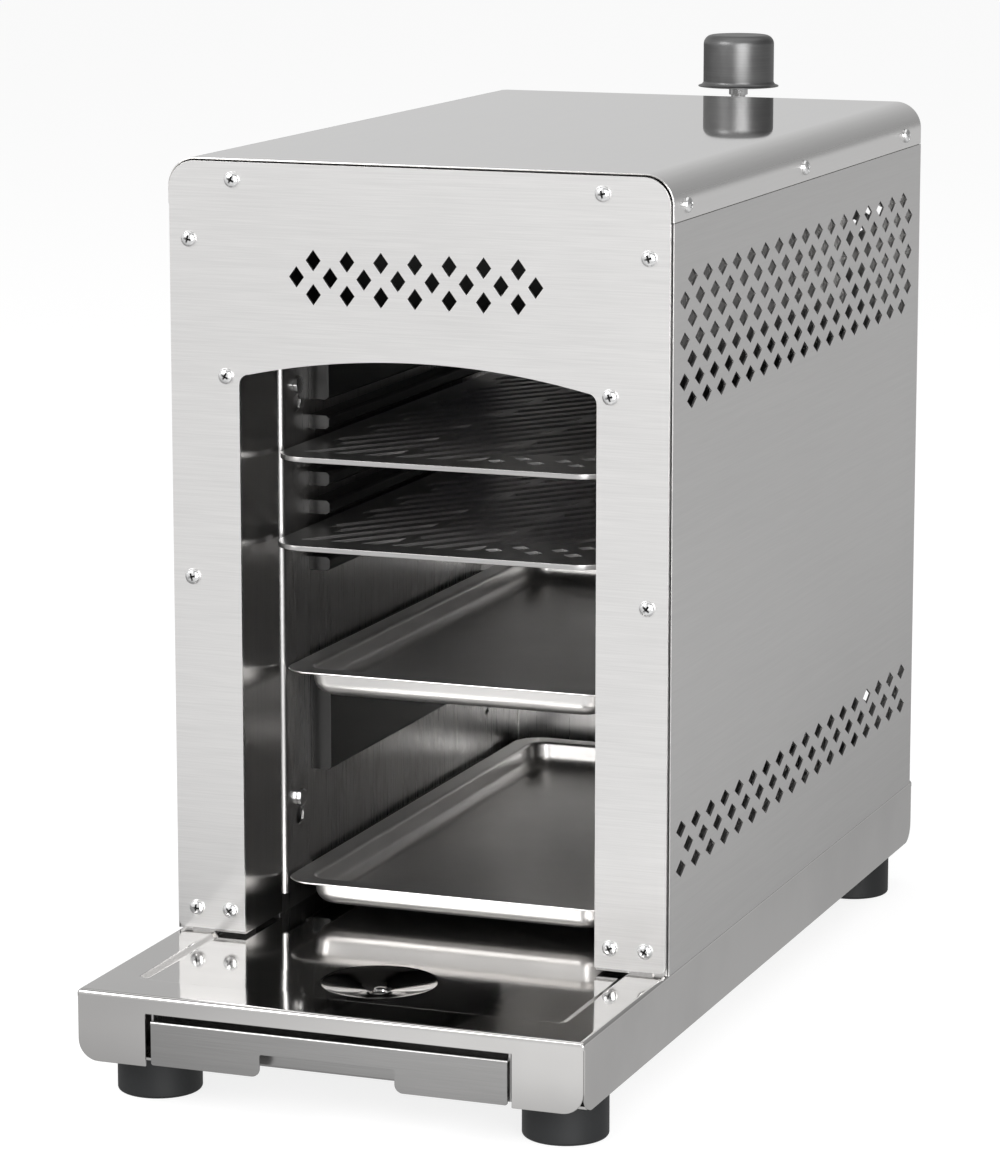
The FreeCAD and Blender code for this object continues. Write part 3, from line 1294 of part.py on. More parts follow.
def make_burner():
    """Burner housing with its tiles, guard, rails, mixing tube and heat shield."""
    wall = d.burner_wall
    half = d.burner_width / 2
    front = d.burner_front
    top = BURNER_Z + d.burner_height
    ledge = d.burner_rail_gauge
    for name, sign in SIDES:
        body = new_body(f"burner_rail_{name}")
        outline = on_side(sign, [
            (LINER_IN - d.burner_rail_width, BURNER_Z - ledge), (LINER_IN, BURNER_Z - ledge),
            (LINER_IN, BURNER_Z + d.burner_rail_leg), (LINER_IN - ledge, BURNER_Z + d.burner_rail_leg),
            (LINER_IN - ledge, BURNER_Z), (LINER_IN - d.burner_rail_width, BURNER_Z),
        ])
        slab(body, "Pad", "XZ", [outline], JAMB_REAR, d.chamber_depth)
        node(f"burner_rail_{name}", body)

    body = new_body("burner_housing")
    slab(body, "Pad", "XY", [rectangle((-half, half), (front, BURNER_REAR))], BURNER_Z, top)
    inside_x = (-half + wall, half - wall)
    inside_y = (front + wall, BURNER_REAR - wall)
    slab(body, "Pocket", "XY", [rectangle(inside_x, inside_y)], BURNER_Z + wall, top - wall)
    lip = d.tile_lip
    mouth_x = (inside_x[0] + lip, inside_x[1] - lip)
    mouth_y = (inside_y[0] + lip, inside_y[1] - lip)
    slab(body, "Pocket", "XY", [rectangle(mouth_x, mouth_y)], BURNER_Z - wall, BURNER_Z + wall * 2)
    slab(body, "Pocket", "XZ", [], BURNER_REAR - wall * 2, BURNER_REAR + wall,
         [(ZERO, TUBE_Z, d.tube_diameter / 2)])
    node("burner_housing", body)

    middle = (front + BURNER_REAR) / 2
    tile = d.tile_width / 2
    seat = BURNER_Z + wall
    gap = wall / 2
    places = (("front", (middle - gap - d.tile_length, middle - gap)),
              ("rear", (middle + gap, middle + gap + d.tile_length)))
    for name, y in places:
        block = box(f"ceramic_tile_{name}", (-tile, tile), y, (seat, seat + d.tile_thickness))
        node(f"ceramic_tile_{name}", block, y[0])

    body = new_body("burner_guard")
    half_guard = d.guard_width / 2
    start = middle - d.guard_length / 2
    low = BURNER_Z - d.guard_gauge
    slab(body, "Pad", "XY", [rectangle((-half_guard, half_guard), (start, start + d.guard_length))],
         low, BURNER_Z)
    count = round(d.guard_bars.value)
    frame = d.guard_bar
    pitch = (d.guard_length - frame) / count
    openings = []
    for index in range(count):
        open_y = (start + frame + pitch * index, start + pitch * (index + 1))
        openings.append(rectangle((-half_guard + frame * 2, half_guard - frame * 2), open_y))
    slab(body, "Pocket", "XY", openings, low - 1, BURNER_Z + 1)
    node("burner_guard", body)

    shield = box("heat_shield", (-LINER_OUT, LINER_OUT), (JAMB_REAR, d.chamber_depth),
                 (LINER_TOP, LINER_TOP + d.sheet))
    node("heat_shield", shield, JAMB_REAR)

    end = d.case_depth + d.tube_reach
    radius = d.tube_diameter / 2
    tube = rod("tube_rod", radius, BURNER_REAR - wall, end, z=TUBE_Z, axis="Y")
    sleeve = rod("tube_sleeve", d.tube_sleeve / 2, end - d.tube_sleeve_length, end, z=TUBE_Z, axis="Y")
    hollow = rod("tube_hollow", radius - d.tube_wall, BURNER_REAR - wall, end, z=TUBE_Z, axis="Y")
    node("mixing_tube", cut("mixing_tube", fuse("tube_outer", tube, sleeve), hollow))


def bracket_screw_places():
    """(x, z) of the screws that hold the valve bracket to the rear panel."""
    side = d.shelf_width / 2 - d.screw_head
    heights = (SHELF_TOP - d.screw_head * 1.5, SHELF_TOP - d.bracket_drop + d.screw_head)
    return [(side * sign, z) for z in heights for name, sign in SIDES]


def make_bracket():
    """Angle bracket on the rear panel that carries the valve, and its screws."""
    body = new_body("valve_bracket")
    half = d.shelf_width / 2
    gauge = d.shelf_gauge
    rear = d.case_depth
    end = KNOB_Y + d.shelf_overhang
    low = SHELF_TOP - d.bracket_drop
    outline = [
        (rear, low), (rear + gauge, low), (rear + gauge, SHELF_UNDER), (end, SHELF_UNDER),
        (end, SHELF_TOP), (rear, SHELF_TOP),
    ]
    slab(body, "Pad", "YZ", [outline], -half, half)
    slab(body, "Pocket", "XZ", [], rear - gauge, rear + gauge * 2,
         [(ZERO, TUBE_Z, d.tube_diameter / 2)])
    slab(body, "Pocket", "XY", [], SHELF_UNDER - gauge, SHELF_TOP + gauge,
         [(ZERO, KNOB_Y, d.neck_diameter / 2)])
    holes = [ring(x.value, z.value, d.screw_hole.value / 2) for x, z in bracket_screw_places()]
    field = (holes, lambda a, b: FreeCAD.Vector(a, (rear - gauge).value, b),
             FreeCAD.Vector(0, gauge.value * 3, 0))
    node("valve_bracket", perforate("valve_bracket", body, field))
    places = []
    for x, z in bracket_screw_places():
        places.append((x.value, (rear + gauge).value, z.value, (0, 1, 0)))
    screw_group("bracket_screws", places)


def hexagon(name, flats, low, high, y):
    """A hexagonal prism about an upright axis, by the distance across its flats."""
    return prism(name, as_size(flats) / math.sqrt(3), low, high, y=y, sides=6)


def make_valve():
    """Valve body with its nut, jet and gas inlet."""
    y = KNOB_Y
    half = d.valve_width / 2
    neck_top = SHELF_UNDER + d.neck_height
    block = box("valve_block", (-half, half), (y - half, y + half), (VALVE_FOOT, VALVE_TOP))
    boss = prism("valve_boss", d.valve_boss / 2, VALVE_TOP, SHELF_UNDER, y=y)
    neck = rod("valve_neck", d.neck_diameter / 2, SHELF_UNDER, neck_top, y=y)
    depth = VALVE_TOP - d.stem_in_valve - d.press_travel * 2
    bore = rod("valve_bore", d.stem_diameter / 2 + d.stem_gap, depth, neck_top, y=y)
    port = prism("valve_port", d.jet_tip / 2, y - half, y, z=TUBE_Z, axis="Y")
    feed = prism("valve_feed", d.inlet_bore / 2, VALVE_FOOT, depth, y=y)
    node("valve_body", cut("valve_body", fuse("valve_solid", block, boss, neck), bore, port, feed))

    nut = hexagon("nut_prism", d.nut_flats, SHELF_TOP, SHELF_TOP + d.nut_height, y)
    hole = rod("nut_hole", d.neck_diameter / 2, SHELF_TOP, SHELF_TOP + d.nut_height, y=y)
    node("valve_nut", cut("valve_nut", nut, hole))

    holder_front = y - half - d.jet_length
    tip_front = holder_front - d.jet_tip_length
    holder = prism("jet_holder", d.jet_diameter / 2, holder_front, y - half, z=TUBE_Z, axis="Y", sides=6)
    tip = prism("jet_tip", d.jet_tip / 2, tip_front, holder_front, z=TUBE_Z, axis="Y")
    hole = prism("jet_hole", d.jet_bore / 2, tip_front, y - half, z=TUBE_Z, axis="Y")
    node("jet_nozzle", cut("jet_nozzle", fuse("jet_solid", holder, tip), hole))

    hex_low = VALVE_FOOT - d.inlet_hex_length
    end = hex_low - d.inlet_length
    block = hexagon("inlet_block", d.inlet_hex, hex_low, VALVE_FOOT, y)
    thread = rod("inlet_thread", d.inlet_thread / 2, end, hex_low, y=y)
    hole = prism("inlet_hole", d.inlet_bore / 2, end, VALVE_FOOT, y=y)
    node("gas_inlet", cut("gas_inlet", fuse("inlet_solid", block, thread), hole))


def make_knob():
    """Knob cup, its hub, the stem and the collar that is pressed down with them."""
    cap = d.knob_diameter / 2
    lip = d.knob_lip / 2
    wall = d.knob_wall
    turn = d.knob_round
    low = LIP_Z
    flare = low + d.knob_flare
    inner_turn = turn - wall * (2 - math.sqrt(2))
    profile = [
        (cap - wall, low), (lip, low), (lip, low + wall), (cap, flare), (cap, KNOB_TOP - turn),
        (cap - turn, KNOB_TOP), (ZERO, KNOB_TOP), (ZERO, KNOB_TOP - wall),
        (cap - wall - inner_turn, KNOB_TOP - wall), (cap - wall, KNOB_TOP - wall - inner_turn),
    ]
    cup = new_body("knob_cup")
    revolve(cup, profile)
    hub_radius = d.hub_diameter / 2
    stem_radius = d.stem_diameter / 2
    stem_top = HUB_FOOT + d.stem_in_hub
    hub = new_body("knob_hub")
    revolve(hub, [
        (stem_radius, HUB_FOOT), (d.hub_nose / 2, HUB_FOOT), (d.hub_nose / 2, HUB_FOOT + d.hub_step),
        (hub_radius, HUB_FOOT + d.hub_step),
        (hub_radius, KNOB_TOP - wall), (ZERO, KNOB_TOP - wall), (ZERO, stem_top), (stem_radius, stem_top),
    ])
    stem = rod("valve_stem", stem_radius, VALVE_TOP - d.stem_in_valve, stem_top, y=KNOB_Y)
    collar = new_body("stem_collar")
    inner = stem_radius + d.stem_gap
    revolve(collar, [
        (inner, HUB_FOOT - d.collar_height), (d.collar_diameter / 2, HUB_FOOT - d.collar_height),
        (d.collar_diameter / 2, HUB_FOOT), (inner, HUB_FOOT),
    ])
    pieces = (("knob_cup", cup), ("knob_hub", hub), ("stem_collar", collar), ("valve_stem", stem))
    for name, piece in pieces:
        node(name, piece, KNOB_Y)


def make_ignition():
    """Spark electrode on its bracket, and the lead to the valve through a grommet."""
    x = -d.lead_side
    y = BURNER_REAR + d.electrode_setback
    bend = d.lead_bend
    top = LEAD_Z - bend
    low = top - d.electrode_length
    radius = d.electrode_diameter / 2
    pin = d.electrode_pin / 2
    pin_low = low - d.electrode_pin_drop
    ceramic = prism("electrode_ceramic", radius, low, top, x=x, y=y)
    drop = prism("electrode_drop", pin, pin_low, low, x=x, y=y)
    reach = prism("electrode_reach", pin, y - d.electrode_pin_reach, y + pin, x=x, z=pin_low, axis="Y")
    node("ignition_electrode", fuse("ignition_electrode", ceramic, drop, reach))

    gauge = d.burner_rail_gauge
    shelf = BURNER_Z + d.electrode_rise
    side = d.electrode_diameter
    plate = box("electrode_plate", (x - side, x + side), (BURNER_REAR, y + side), (shelf, shelf + gauge))
    flange = box("electrode_flange", (x - side, x + side), (BURNER_REAR, BURNER_REAR + gauge),
                 (shelf, shelf + side * 1.5))
    hole = prism("electrode_hole", radius, shelf, shelf + gauge, x=x, y=y)
    node("electrode_bracket", cut("electrode_bracket", fuse("bracket_solid", plate, flange), hole))

    spots = [
        (x, y, top), (x, y + bend, LEAD_Z), (x, KNOB_Y - bend, LEAD_Z), (x + bend, KNOB_Y, LEAD_Z),
        (-d.valve_width / 2, KNOB_Y, LEAD_Z),
    ]
    a, b, c, e, f = [FreeCAD.Vector(*[as_size(value).value for value in spot]) for spot in spots]
    r = bend.value
    rise_middle = FreeCAD.Vector(a.x, a.y + r - r * math.sqrt(0.5), a.z + r * math.sqrt(0.5))
    turn_middle = FreeCAD.Vector(c.x + r - r * math.sqrt(0.5), c.y + r * math.sqrt(0.5), c.z)
    path = Part.Wire([
        Part.Arc(a, rise_middle, b).toShape(), Part.LineSegment(b, c).toShape(),
        Part.Arc(c, turn_middle, e).toShape(), Part.LineSegment(e, f).toShape(),
    ])
    corners = [FreeCAD.Vector(i, j, a.z) for i, j in ring(a.x, a.y, d.lead_diameter.value / 2)]
    section = Part.makePolygon(corners + [corners[0]])
    lead = doc.addObject("Part::Feature", "ignition_lead")
    lead.Shape = path.makePipeShell([section], True, False)
    print("lead: bend radius", r, "length", round(path.Length, 1), "volume over section times length",
          round(lead.Shape.Volume / (Part.Face(section).Area * path.Length), 4))
    node("ignition_lead", lead)

    thick = d.grommet_flange_thickness
    rear = d.case_depth
    front = rear - d.sheet
    flange = d.grommet_flange / 2
    inside = prism("grommet_inside", flange, front - thick, front, x=x, z=LEAD_Z, axis="Y")
    neck = prism("grommet_neck", d.grommet_neck / 2, front, rear, x=x, z=LEAD_Z, axis="Y")
    outside = prism("grommet_outside", flange, rear, rear + thick, x=x, z=LEAD_Z, axis="Y")
    bore = prism("grommet_bore", d.lead_diameter / 2, front - thick, rear + thick, x=x, z=LEAD_Z, axis="Y")
    node("lead_grommet", cut("lead_grommet", fuse("grommet_solid", inside, neck, outside), bore))


for maker in (make_base, make_feet, make_runners, make_drawer, make_face_plate, make_plate_screws,
              make_jambs, make_lintel, make_side_panels, make_cover, make_cover_screws,
              make_top_rails, make_rear_panel, make_liners, make_chamber_back, make_racks,
              make_studs, make_grates, make_trays, make_burner, make_bracket, make_valve,
              make_knob, make_ignition):
    maker()
doc.recompute()

for thing in doc.Objects:
    if "Invalid" in thing.State or "Error" in thing.State:
        raise RuntimeError(f"{thing.Name} failed: {thing.State}")
for name, thing in nodes.items():
    shape = thing.Shape
    if shape.isNull() or not shape.isValid():
        raise RuntimeError(f"{name} has no valid shape")
    print(name, len(shape.Solids), round(shape.Volume, 1))
    shape.exportStep(f"parts/{name}.step")
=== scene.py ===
# %% [markdown]
# # An infrared steak grill in stainless steel
# The real grill is folded from thin stainless sheet: a low base with a drip recess, a tall case with
# a face plate, and a chamber with rack walls, two grates and two trays under a gas burner.
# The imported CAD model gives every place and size. This lesson dresses it: sheets get their bends and
# finishes, and the screws and the vents are laid out by Geometry Nodes.

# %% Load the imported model
import math

import bmesh
import bpy
from mathutils import Matrix, Vector


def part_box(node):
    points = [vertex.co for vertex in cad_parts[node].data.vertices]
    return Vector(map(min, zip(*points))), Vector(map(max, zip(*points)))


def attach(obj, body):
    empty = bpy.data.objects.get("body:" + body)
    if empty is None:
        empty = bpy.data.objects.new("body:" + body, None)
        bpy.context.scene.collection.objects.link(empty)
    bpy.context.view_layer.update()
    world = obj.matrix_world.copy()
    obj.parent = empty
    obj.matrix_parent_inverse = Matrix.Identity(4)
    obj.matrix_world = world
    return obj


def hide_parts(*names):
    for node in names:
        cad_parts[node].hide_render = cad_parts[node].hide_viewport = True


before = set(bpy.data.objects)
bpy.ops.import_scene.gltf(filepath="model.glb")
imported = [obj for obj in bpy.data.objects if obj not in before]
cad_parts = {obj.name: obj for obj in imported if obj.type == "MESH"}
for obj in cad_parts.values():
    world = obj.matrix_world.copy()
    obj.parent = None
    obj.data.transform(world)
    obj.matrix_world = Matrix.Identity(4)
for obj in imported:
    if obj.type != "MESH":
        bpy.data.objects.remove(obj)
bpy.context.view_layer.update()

MM = 0.001


def new_object(name, data):
    """An object in the scene, from a mesh, a lamp, a camera or a curve."""
    made = bpy.data.objects.new(name, data)
    bpy.context.scene.collection.objects.link(made)
    return made


# %% [markdown]
# ## The view
# The photograph was taken with a long lens from the front right, a little above the cover. The
# camera comes first, so that every later step can be judged through it.

# %% Camera
VIEW_AZIMUTH = math.radians(20.634681)
VIEW_ELEVATION = math.radians(10.842143)
look = Vector((-math.sin(VIEW_AZIMUTH) * math.cos(VIEW_ELEVATION),
               math.cos(VIEW_AZIMUTH) * math.cos(VIEW_ELEVATION), -math.sin(VIEW_ELEVATION)))
camera = new_object("photo_view", bpy.data.cameras.new("photo_view"))
camera.location = (0.769054, -2.129802, 0.633944)
camera.rotation_mode = "QUATERNION"
camera.rotation_quaternion = look.to_track_quat("-Z", "Y")
camera.data.lens = 139.195
camera.data.shift_x = -0.00045
camera.data.shift_y = -0.0021
bpy.context.scene.camera = camera
bpy.context.scene.view_settings.view_transform = "Standard"

# %% [markdown]
# ## Node trees as sentences
# A shader or a geometry tree is a chain of small sums. `Signal` wraps a socket and takes Python's
# operators, so `1 - grain * 0.3` adds its own Math nodes. `Graph` has one method that makes any node:
# its type, its settings, and the values or links of its sockets.

# %% Signal and Graph
class Signal:
    """A socket that takes part in Python expressions."""

    def __init__(self, graph, socket):
        self.graph = graph
        self.socket = socket

    def __add__(self, other):
        return self.graph.maths("ADD", self, other)

    def __sub__(self, other):
        return self.graph.maths("SUBTRACT", self, other)

    def __rsub__(self, other):
        return self.graph.maths("SUBTRACT", other, self)

    def __mul__(self, other):
        return self.graph.maths("MULTIPLY", self, other)

    def __truediv__(self, other):
        return self.graph.maths("DIVIDE", self, other)

    def __mod__(self, other):
        return self.graph.maths("FLOORED_MODULO", self, other)

    def __gt__(self, other):
        return self.graph.maths("GREATER_THAN", self, other)

    def floor(self):
        return self.graph.maths("FLOOR", self)

    __radd__ = __add__
    __rmul__ = __mul__


class Graph:
    """A node tree that is written as calls and expressions."""

    def __init__(self, tree):
        self.tree = tree
        tree.nodes.clear()

    def add(self, kind, settings=None, values=None):
        """Make a node: its type, its settings, then the values or links of its sockets."""
        node = self.tree.nodes.new(kind)
        for name, setting in (settings or {}).items():
            setattr(node, name, setting)
        for key, value in (values or {}).items():
            if isinstance(value, Signal):
                self.tree.links.new(value.socket, node.inputs[key])
            else:
                node.inputs[key].default_value = value
        return node

    def out(self, node, key=0):
        """One output of a node as a Signal."""
        return Signal(self, node.outputs[key])

    def signal(self, kind, settings=None, values=None, key=0):
        """Make a node and take one of its outputs."""
        return self.out(self.add(kind, settings, values), key)

    def maths(self, operation, *values):
        """One Math node."""
        return self.signal("ShaderNodeMath", {"operation": operation}, dict(enumerate(values)))

    def mix(self, share, first, second):
        """A colour between two others."""
        return self.signal("ShaderNodeMix", {"data_type": "RGBA"}, {0: share, 6: first, 7: second}, 2)

    def fit(self, value, low, high, new_low=0.0, new_high=1.0):
        """A value moved from one range to another, and held there."""
        return self.signal("ShaderNodeMapRange", {"interpolation_type": "SMOOTHSTEP"},
                           dict(enumerate((value, low, high, new_low, new_high))))

    def axes(self, vector):
        """The three parts of a vector."""
        node = self.add("ShaderNodeSeparateXYZ", {}, {0: vector})
        return [self.out(node, index) for index in range(3)]


print("helpers ready")

# %% [markdown]
# ## Steel, rubber, brass and ceramic
# Sanded sheet is crossed by fine scratches that all run one way, over broad bands from the belt and
# faint clouds from handling. The scratches are noise that is stretched more than fifty times along
# one axis; they move the colour a little, the roughness more, and lift the surface by microns.

# %% Finish
class Finish(Graph):
    """A material with one Principled shader."""

    def __init__(self, name, **fixed):
        self.material = bpy.data.materials.new(name)
        self.material.use_nodes = True
        super().__init__(self.material.node_tree)
        values = {key.replace("_", " "): value for key, value in fixed.items()}
        self.shader = self.add("ShaderNodeBsdfPrincipled", {}, values)
        self.add("ShaderNodeOutputMaterial", {}, {"Surface": self.out(self.shader)})
        self.place = self.signal("ShaderNodeTexCoord", key="Object")

    def noise(self, stretch, detail=2.0, rough=0.5):
        """Noise from 0 to 1, with a number of features per metre along each axis."""
        stretched = self.add("ShaderNodeVectorMath", {"operation": "MULTIPLY"}, {0: self.place, 1: stretch})
        values = {"Vector": self.out(stretched), "Scale": 1.0, "Detail": detail, "Roughness": rough}
        return self.signal("ShaderNodeTexNoise", {}, values)

    def wear(self, colour=None, roughness=None, height=None, relief=0.0):
        """Feed what varies over the surface."""
        for name, signal in (("Base Color", colour), ("Roughness", roughness)):
            if signal is not None:
                self.tree.links.new(signal.socket, self.shader.inputs[name])
        if height is not None:
            bump = self.add("ShaderNodeBump", {}, {"Strength": 1.0, "Distance": relief, "Height": height})
            self.tree.links.new(bump.outputs[0], self.shader.inputs["Normal"])
        return self.material


BRIGHTEST = 0.97
FADE = 12 * MM
SANDED_WARMTH, ROLLED_WARMTH = 0.01, 0.015
SCRATCHES_PER_METRE, SCRATCHES_ALONG = 1500.0, 28.0
BANDS_PER_METRE, BANDS_ALONG = 420.0, 7.0


def grey(value, warmth=0.0):
    """A steel grey, a little warm or cold."""
    return (value * (1 + warmth), value, value * (1 - warmth), 1)


def sanded(name, along, value, roughness, contrast=0.05, relief=4e-6, polished=None):
    """Steel sanded along one axis: 0 is across the grill, 1 is front to back, 2 is upright.

    polished is a height above which the sheet still has its bright mill finish."""
    finish = Finish(name, Metallic=1.0)
    fine, broad = [SCRATCHES_PER_METRE] * 3, [BANDS_PER_METRE] * 3
    fine[along], broad[along] = SCRATCHES_ALONG, BANDS_ALONG
    scratch = finish.noise(fine, 2.0, 0.6)
    belt = finish.noise(broad, 1.0)
    cloud = finish.noise([7.0] * 3, 2.0)
    tone = finish.fit(scratch * 0.55 + belt * 0.2 + cloud * 0.25, 0.3, 0.7)
    dark, light = value * (1 - contrast), min(value * (1 + contrast), BRIGHTEST)
    colour = finish.mix(tone, grey(dark, SANDED_WARMTH), grey(light, SANDED_WARMTH))
    rough = roughness * (0.85 + 0.2 * scratch + 0.1 * cloud)
    if polished:
        height = finish.axes(finish.place)[2]
        rough = rough * finish.fit(height, polished - FADE, polished, 1.0, 0.1)
    return finish.wear(colour, rough, scratch, relief)


def rolled(name, value, roughness, relief=2e-6):
    """Bright or dull rolled steel: no scratches, only faint rolling marks and clouds."""
    finish = Finish(name, Metallic=1.0)
    cloud = finish.noise([12.0] * 3, 3.0)
    grain = finish.noise([240.0] * 3, 3.0)
    dark, light = grey(value * 0.9, ROLLED_WARMTH), grey(value, ROLLED_WARMTH)
    colour = finish.mix(finish.fit(cloud, 0.3, 0.7), dark, light)
    return finish.wear(colour, roughness * (0.7 + 0.4 * cloud + 0.2 * grain), grain, relief)


def turned(name, value, roughness, colour=None):
    """Steel or brass turned on a lathe: its marks are rings, so they change only with height."""
    finish = Finish(name, Metallic=1.0)
    rings = finish.noise([20.0, 20.0, 2600.0], 2.0)
    cloud = finish.noise([60.0] * 3, 2.0)
    base = colour or grey(value)
    dark = tuple(part * 0.8 for part in base[:3]) + (1,)
    return finish.wear(finish.mix(finish.fit(rings * 0.6 + cloud * 0.4, 0.3, 0.7), dark, base),
                       roughness * (0.8 + 0.4 * rings), rings, 4e-6)


def cross_recessed(name, value, roughness):
    """Plated screw steel; the cross of a screw is coloured near-black and rougher, as painted shade."""
    finish = Finish(name, Metallic=1.0)
    recess_shade = finish.signal("ShaderNodeAttribute", {"attribute_name": "recess"}, key="Fac")
    cloud = finish.noise([300.0] * 3, 2.0)
    clean = finish.mix(finish.fit(cloud, 0.3, 0.7), grey(value * 0.9), grey(value))
    return finish.wear(finish.mix(recess_shade, clean, grey(0.02)), roughness + 0.4 * recess_shade, cloud, 2e-6)


def moulded(name, colour, roughness, relief, scale):
    """Rubber, plastic or ceramic with a fine moulded grain."""
    finish = Finish(name)
    grain = finish.noise([scale] * 3, 4.0, 0.6)
    cloud = finish.noise([30.0] * 3, 2.0)
    dark = tuple(part * 0.7 for part in colour) + (1,)
    return finish.wear(finish.mix(finish.fit(cloud * 0.5 + grain * 0.5, 0.3, 0.7), dark, (*colour, 1)),
                       roughness * (0.85 + 0.3 * grain), grain, relief)


# %% The grill's own finishes
POLISHED_ABOVE = 430.5 * MM
STEEL = {
    "face": sanded("face_brushed_across", 0, 0.78, 0.30),
    "side": sanded("side_brushed_lengthways", 1, 0.61, 0.34, contrast=0.04, relief=3e-6),
    "cover": sanded("cover_brushed_lengthways", 1, 0.80, 0.30, contrast=0.02, relief=1e-7,
                    polished=POLISHED_ABOVE),
    "base": rolled("base_bright_sheet", 0.62, 0.07, relief=3e-7),
    "drawer": sanded("drawer_brushed_across", 0, 0.36, 0.24),
    "jamb": sanded("jamb_brushed_upright", 2, 0.62, 0.18, contrast=0.06, relief=2e-6),
    "wall": sanded("chamber_brushed_upright", 2, 0.50, 0.28, contrast=0.08, relief=3e-6),
    # Rails and lintel: the near-black value 0.06 is painted shade, for the dark inside of the chamber.
    "rail": sanded("rail_brushed_lengthways", 1, 0.06, 0.40),
    "grate": sanded("grate_brushed_across", 0, 0.50, 0.30, contrast=0.10),
    "tray": rolled("tray_drawn_sheet", 0.88, 0.33, relief=1.5e-6),
    "burner": rolled("burner_plain_steel", 0.42, 0.35, relief=1e-5),
    "screw": cross_recessed("screw_bright_steel", 0.80, 0.22),
    "knob": turned("knob_turned_steel", 0.17, 0.40),
    "stem": turned("stem_turned_steel", 0.55, 0.25),
    "brass": turned("fitting_turned_brass", 0.6, 0.3, (0.62, 0.44, 0.17, 1)),
}
RUBBER = moulded("foot_moulded_rubber", (0.010, 0.011, 0.012), 0.55, 4e-5, 900.0)
PLASTIC = moulded("hub_moulded_plastic", (0.02, 0.02, 0.02), 0.4, 2e-5, 1200.0)
CERAMIC = moulded("tile_pressed_ceramic", (0.78, 0.73, 0.64), 0.85, 1e-4, 500.0)
SLEEVE = moulded("lead_silicone_sleeve", (0.20, 0.035, 0.02), 0.5, 2e-5, 700.0)
print(len(STEEL) + 4, "finishes")

# %% [markdown]
# ## Floor and light
# A pale studio: the floor shows almost white to the camera and still keeps a soft shadow. Polished
# steel shows what stands round it. So the floor and the sky that it mirrors carry gradients: bright
# in front, dimmer at the far left, behind, above, and close beside the right wall.

# %% Studio sky
world = bpy.data.worlds.new("studio")
bpy.context.scene.world = world
world.use_nodes = True
sky = Graph(world.node_tree)
rays = sky.add("ShaderNodeLightPath")
east, north, up = sky.axes(sky.signal("ShaderNodeTexCoord", key="Generated"))
seen = sky.out(rays, "Is Camera Ray")
from_left = sky.fit(east, -0.5, 0.6, 0.95, 0.42)
from_above = sky.fit(up, 0.25, 1.0, 1.0, 0.6)
from_behind = sky.fit(north, 0.0, 0.8, 1.0, 0.68)
mirrored = from_left * from_above * from_behind
strength = seen + (1 - seen) * mirrored
backdrop = sky.add("ShaderNodeBackground", {}, {"Color": (1, 1, 1, 1), "Strength": strength})
sky.add("ShaderNodeOutputWorld", {}, {"Surface": sky.out(backdrop)})

# %% Floor
floor_mesh = bpy.data.meshes.new("studio_floor")
floor_mesh.from_pydata([(-30, -30, 0), (30, -30, 0), (30, 30, 0), (-30, 30, 0)], [], [(0, 1, 2, 3)])
floor = new_object("studio_floor", floor_mesh)
floor_material = bpy.data.materials.new("studio_floor")
floor_material.use_nodes = True
ground = Graph(floor_material.node_tree)
rays = ground.add("ShaderNodeLightPath")
east, north, up = ground.axes(ground.signal("ShaderNodeTexCoord", key="Object"))
seen, glossy = ground.out(rays, "Is Camera Ray"), ground.out(rays, "Is Glossy Ray")
shade = ground.fit(north, -1.6, 1.6, 1.0, 0.58) * ground.fit(east, -1.2, 1.2, 1.0, 0.82)
left_dims = ground.fit(east, -0.75, -0.3, 0.80, 1.0)
near_front = 1 + ground.fit(north, -0.66, -0.5) * ground.fit(east, -0.22, 0.05, -0.2, 0.3)
near_right = 1 - ground.fit(north, -0.45, -0.3) * ground.fit(east, 0.15, 0.6, 0.45, 0.0)
shade = shade * left_dims * near_front * near_right
paper = ground.add("ShaderNodeBsdfDiffuse", {}, {"Color": (0.3, 0.3, 0.3, 1)})
pale = ground.add("ShaderNodeBsdfDiffuse", {}, {"Color": (0.8, 0.8, 0.8, 1)})
glow = ground.add("ShaderNodeEmission", {}, {"Color": (1, 1, 1, 1), "Strength": seen * 0.80 + glossy * shade})
lit = ground.add("ShaderNodeAddShader", {}, {0: ground.out(paper), 1: ground.out(glow)})
bounced = ground.add("ShaderNodeMixShader", {}, {0: glossy, 1: ground.out(pale), 2: ground.out(glow)})
final = ground.add("ShaderNodeMixShader", {}, {0: seen, 1: ground.out(bounced), 2: ground.out(lit)})
ground.add("ShaderNodeOutputMaterial", {}, {"Surface": ground.out(final)})
floor.data.materials.append(floor_material)


# %% Soft lights
def soft_light(name, place, target, size, power):
    """A square soft light that points at a target."""
    lamp = bpy.data.lights.new(name, "AREA")
    lamp.size = size
    lamp.energy = power
    stand = new_object(name, lamp)
    stand.location = place
    stand.rotation_mode = "QUATERNION"
    stand.rotation_quaternion = (Vector(target) - Vector(place)).to_track_quat("-Z", "Y")


soft_light("key_front_left", (-1.6, -2.2, 1.9), (0, 0, 0.2), 1.4, 38)
soft_light("top_soft", (0.3, 0.1, 2.8), (0, 0, 0.2), 3.2, 24)
soft_light("window_fill", (1.3, -2.0, 0.7), (0, 0.1, 0.15), 1.8, 60)

# %% [markdown]
# ## Making pieces
# Each piece is a plain mesh at the origin. Its faces are smooth except across edges sharper than
# 32 degrees, so a bend of many strips shades as one curve and a cut edge stays crisp. Weighted
# normals then give the large flats their true direction, because a mirror-bright sheet shows the
# least wave. A piece is tied to the body that carries it, and the CAD node it stands for is hidden.

# %% Helpers for pieces
def object_from(name, points, faces, edges=()):
    """An object from points and faces, in metres."""
    mesh = bpy.data.meshes.new(name)
    mesh.from_pydata([tuple(point) for point in points], list(edges), faces)
    return new_object(name, mesh)


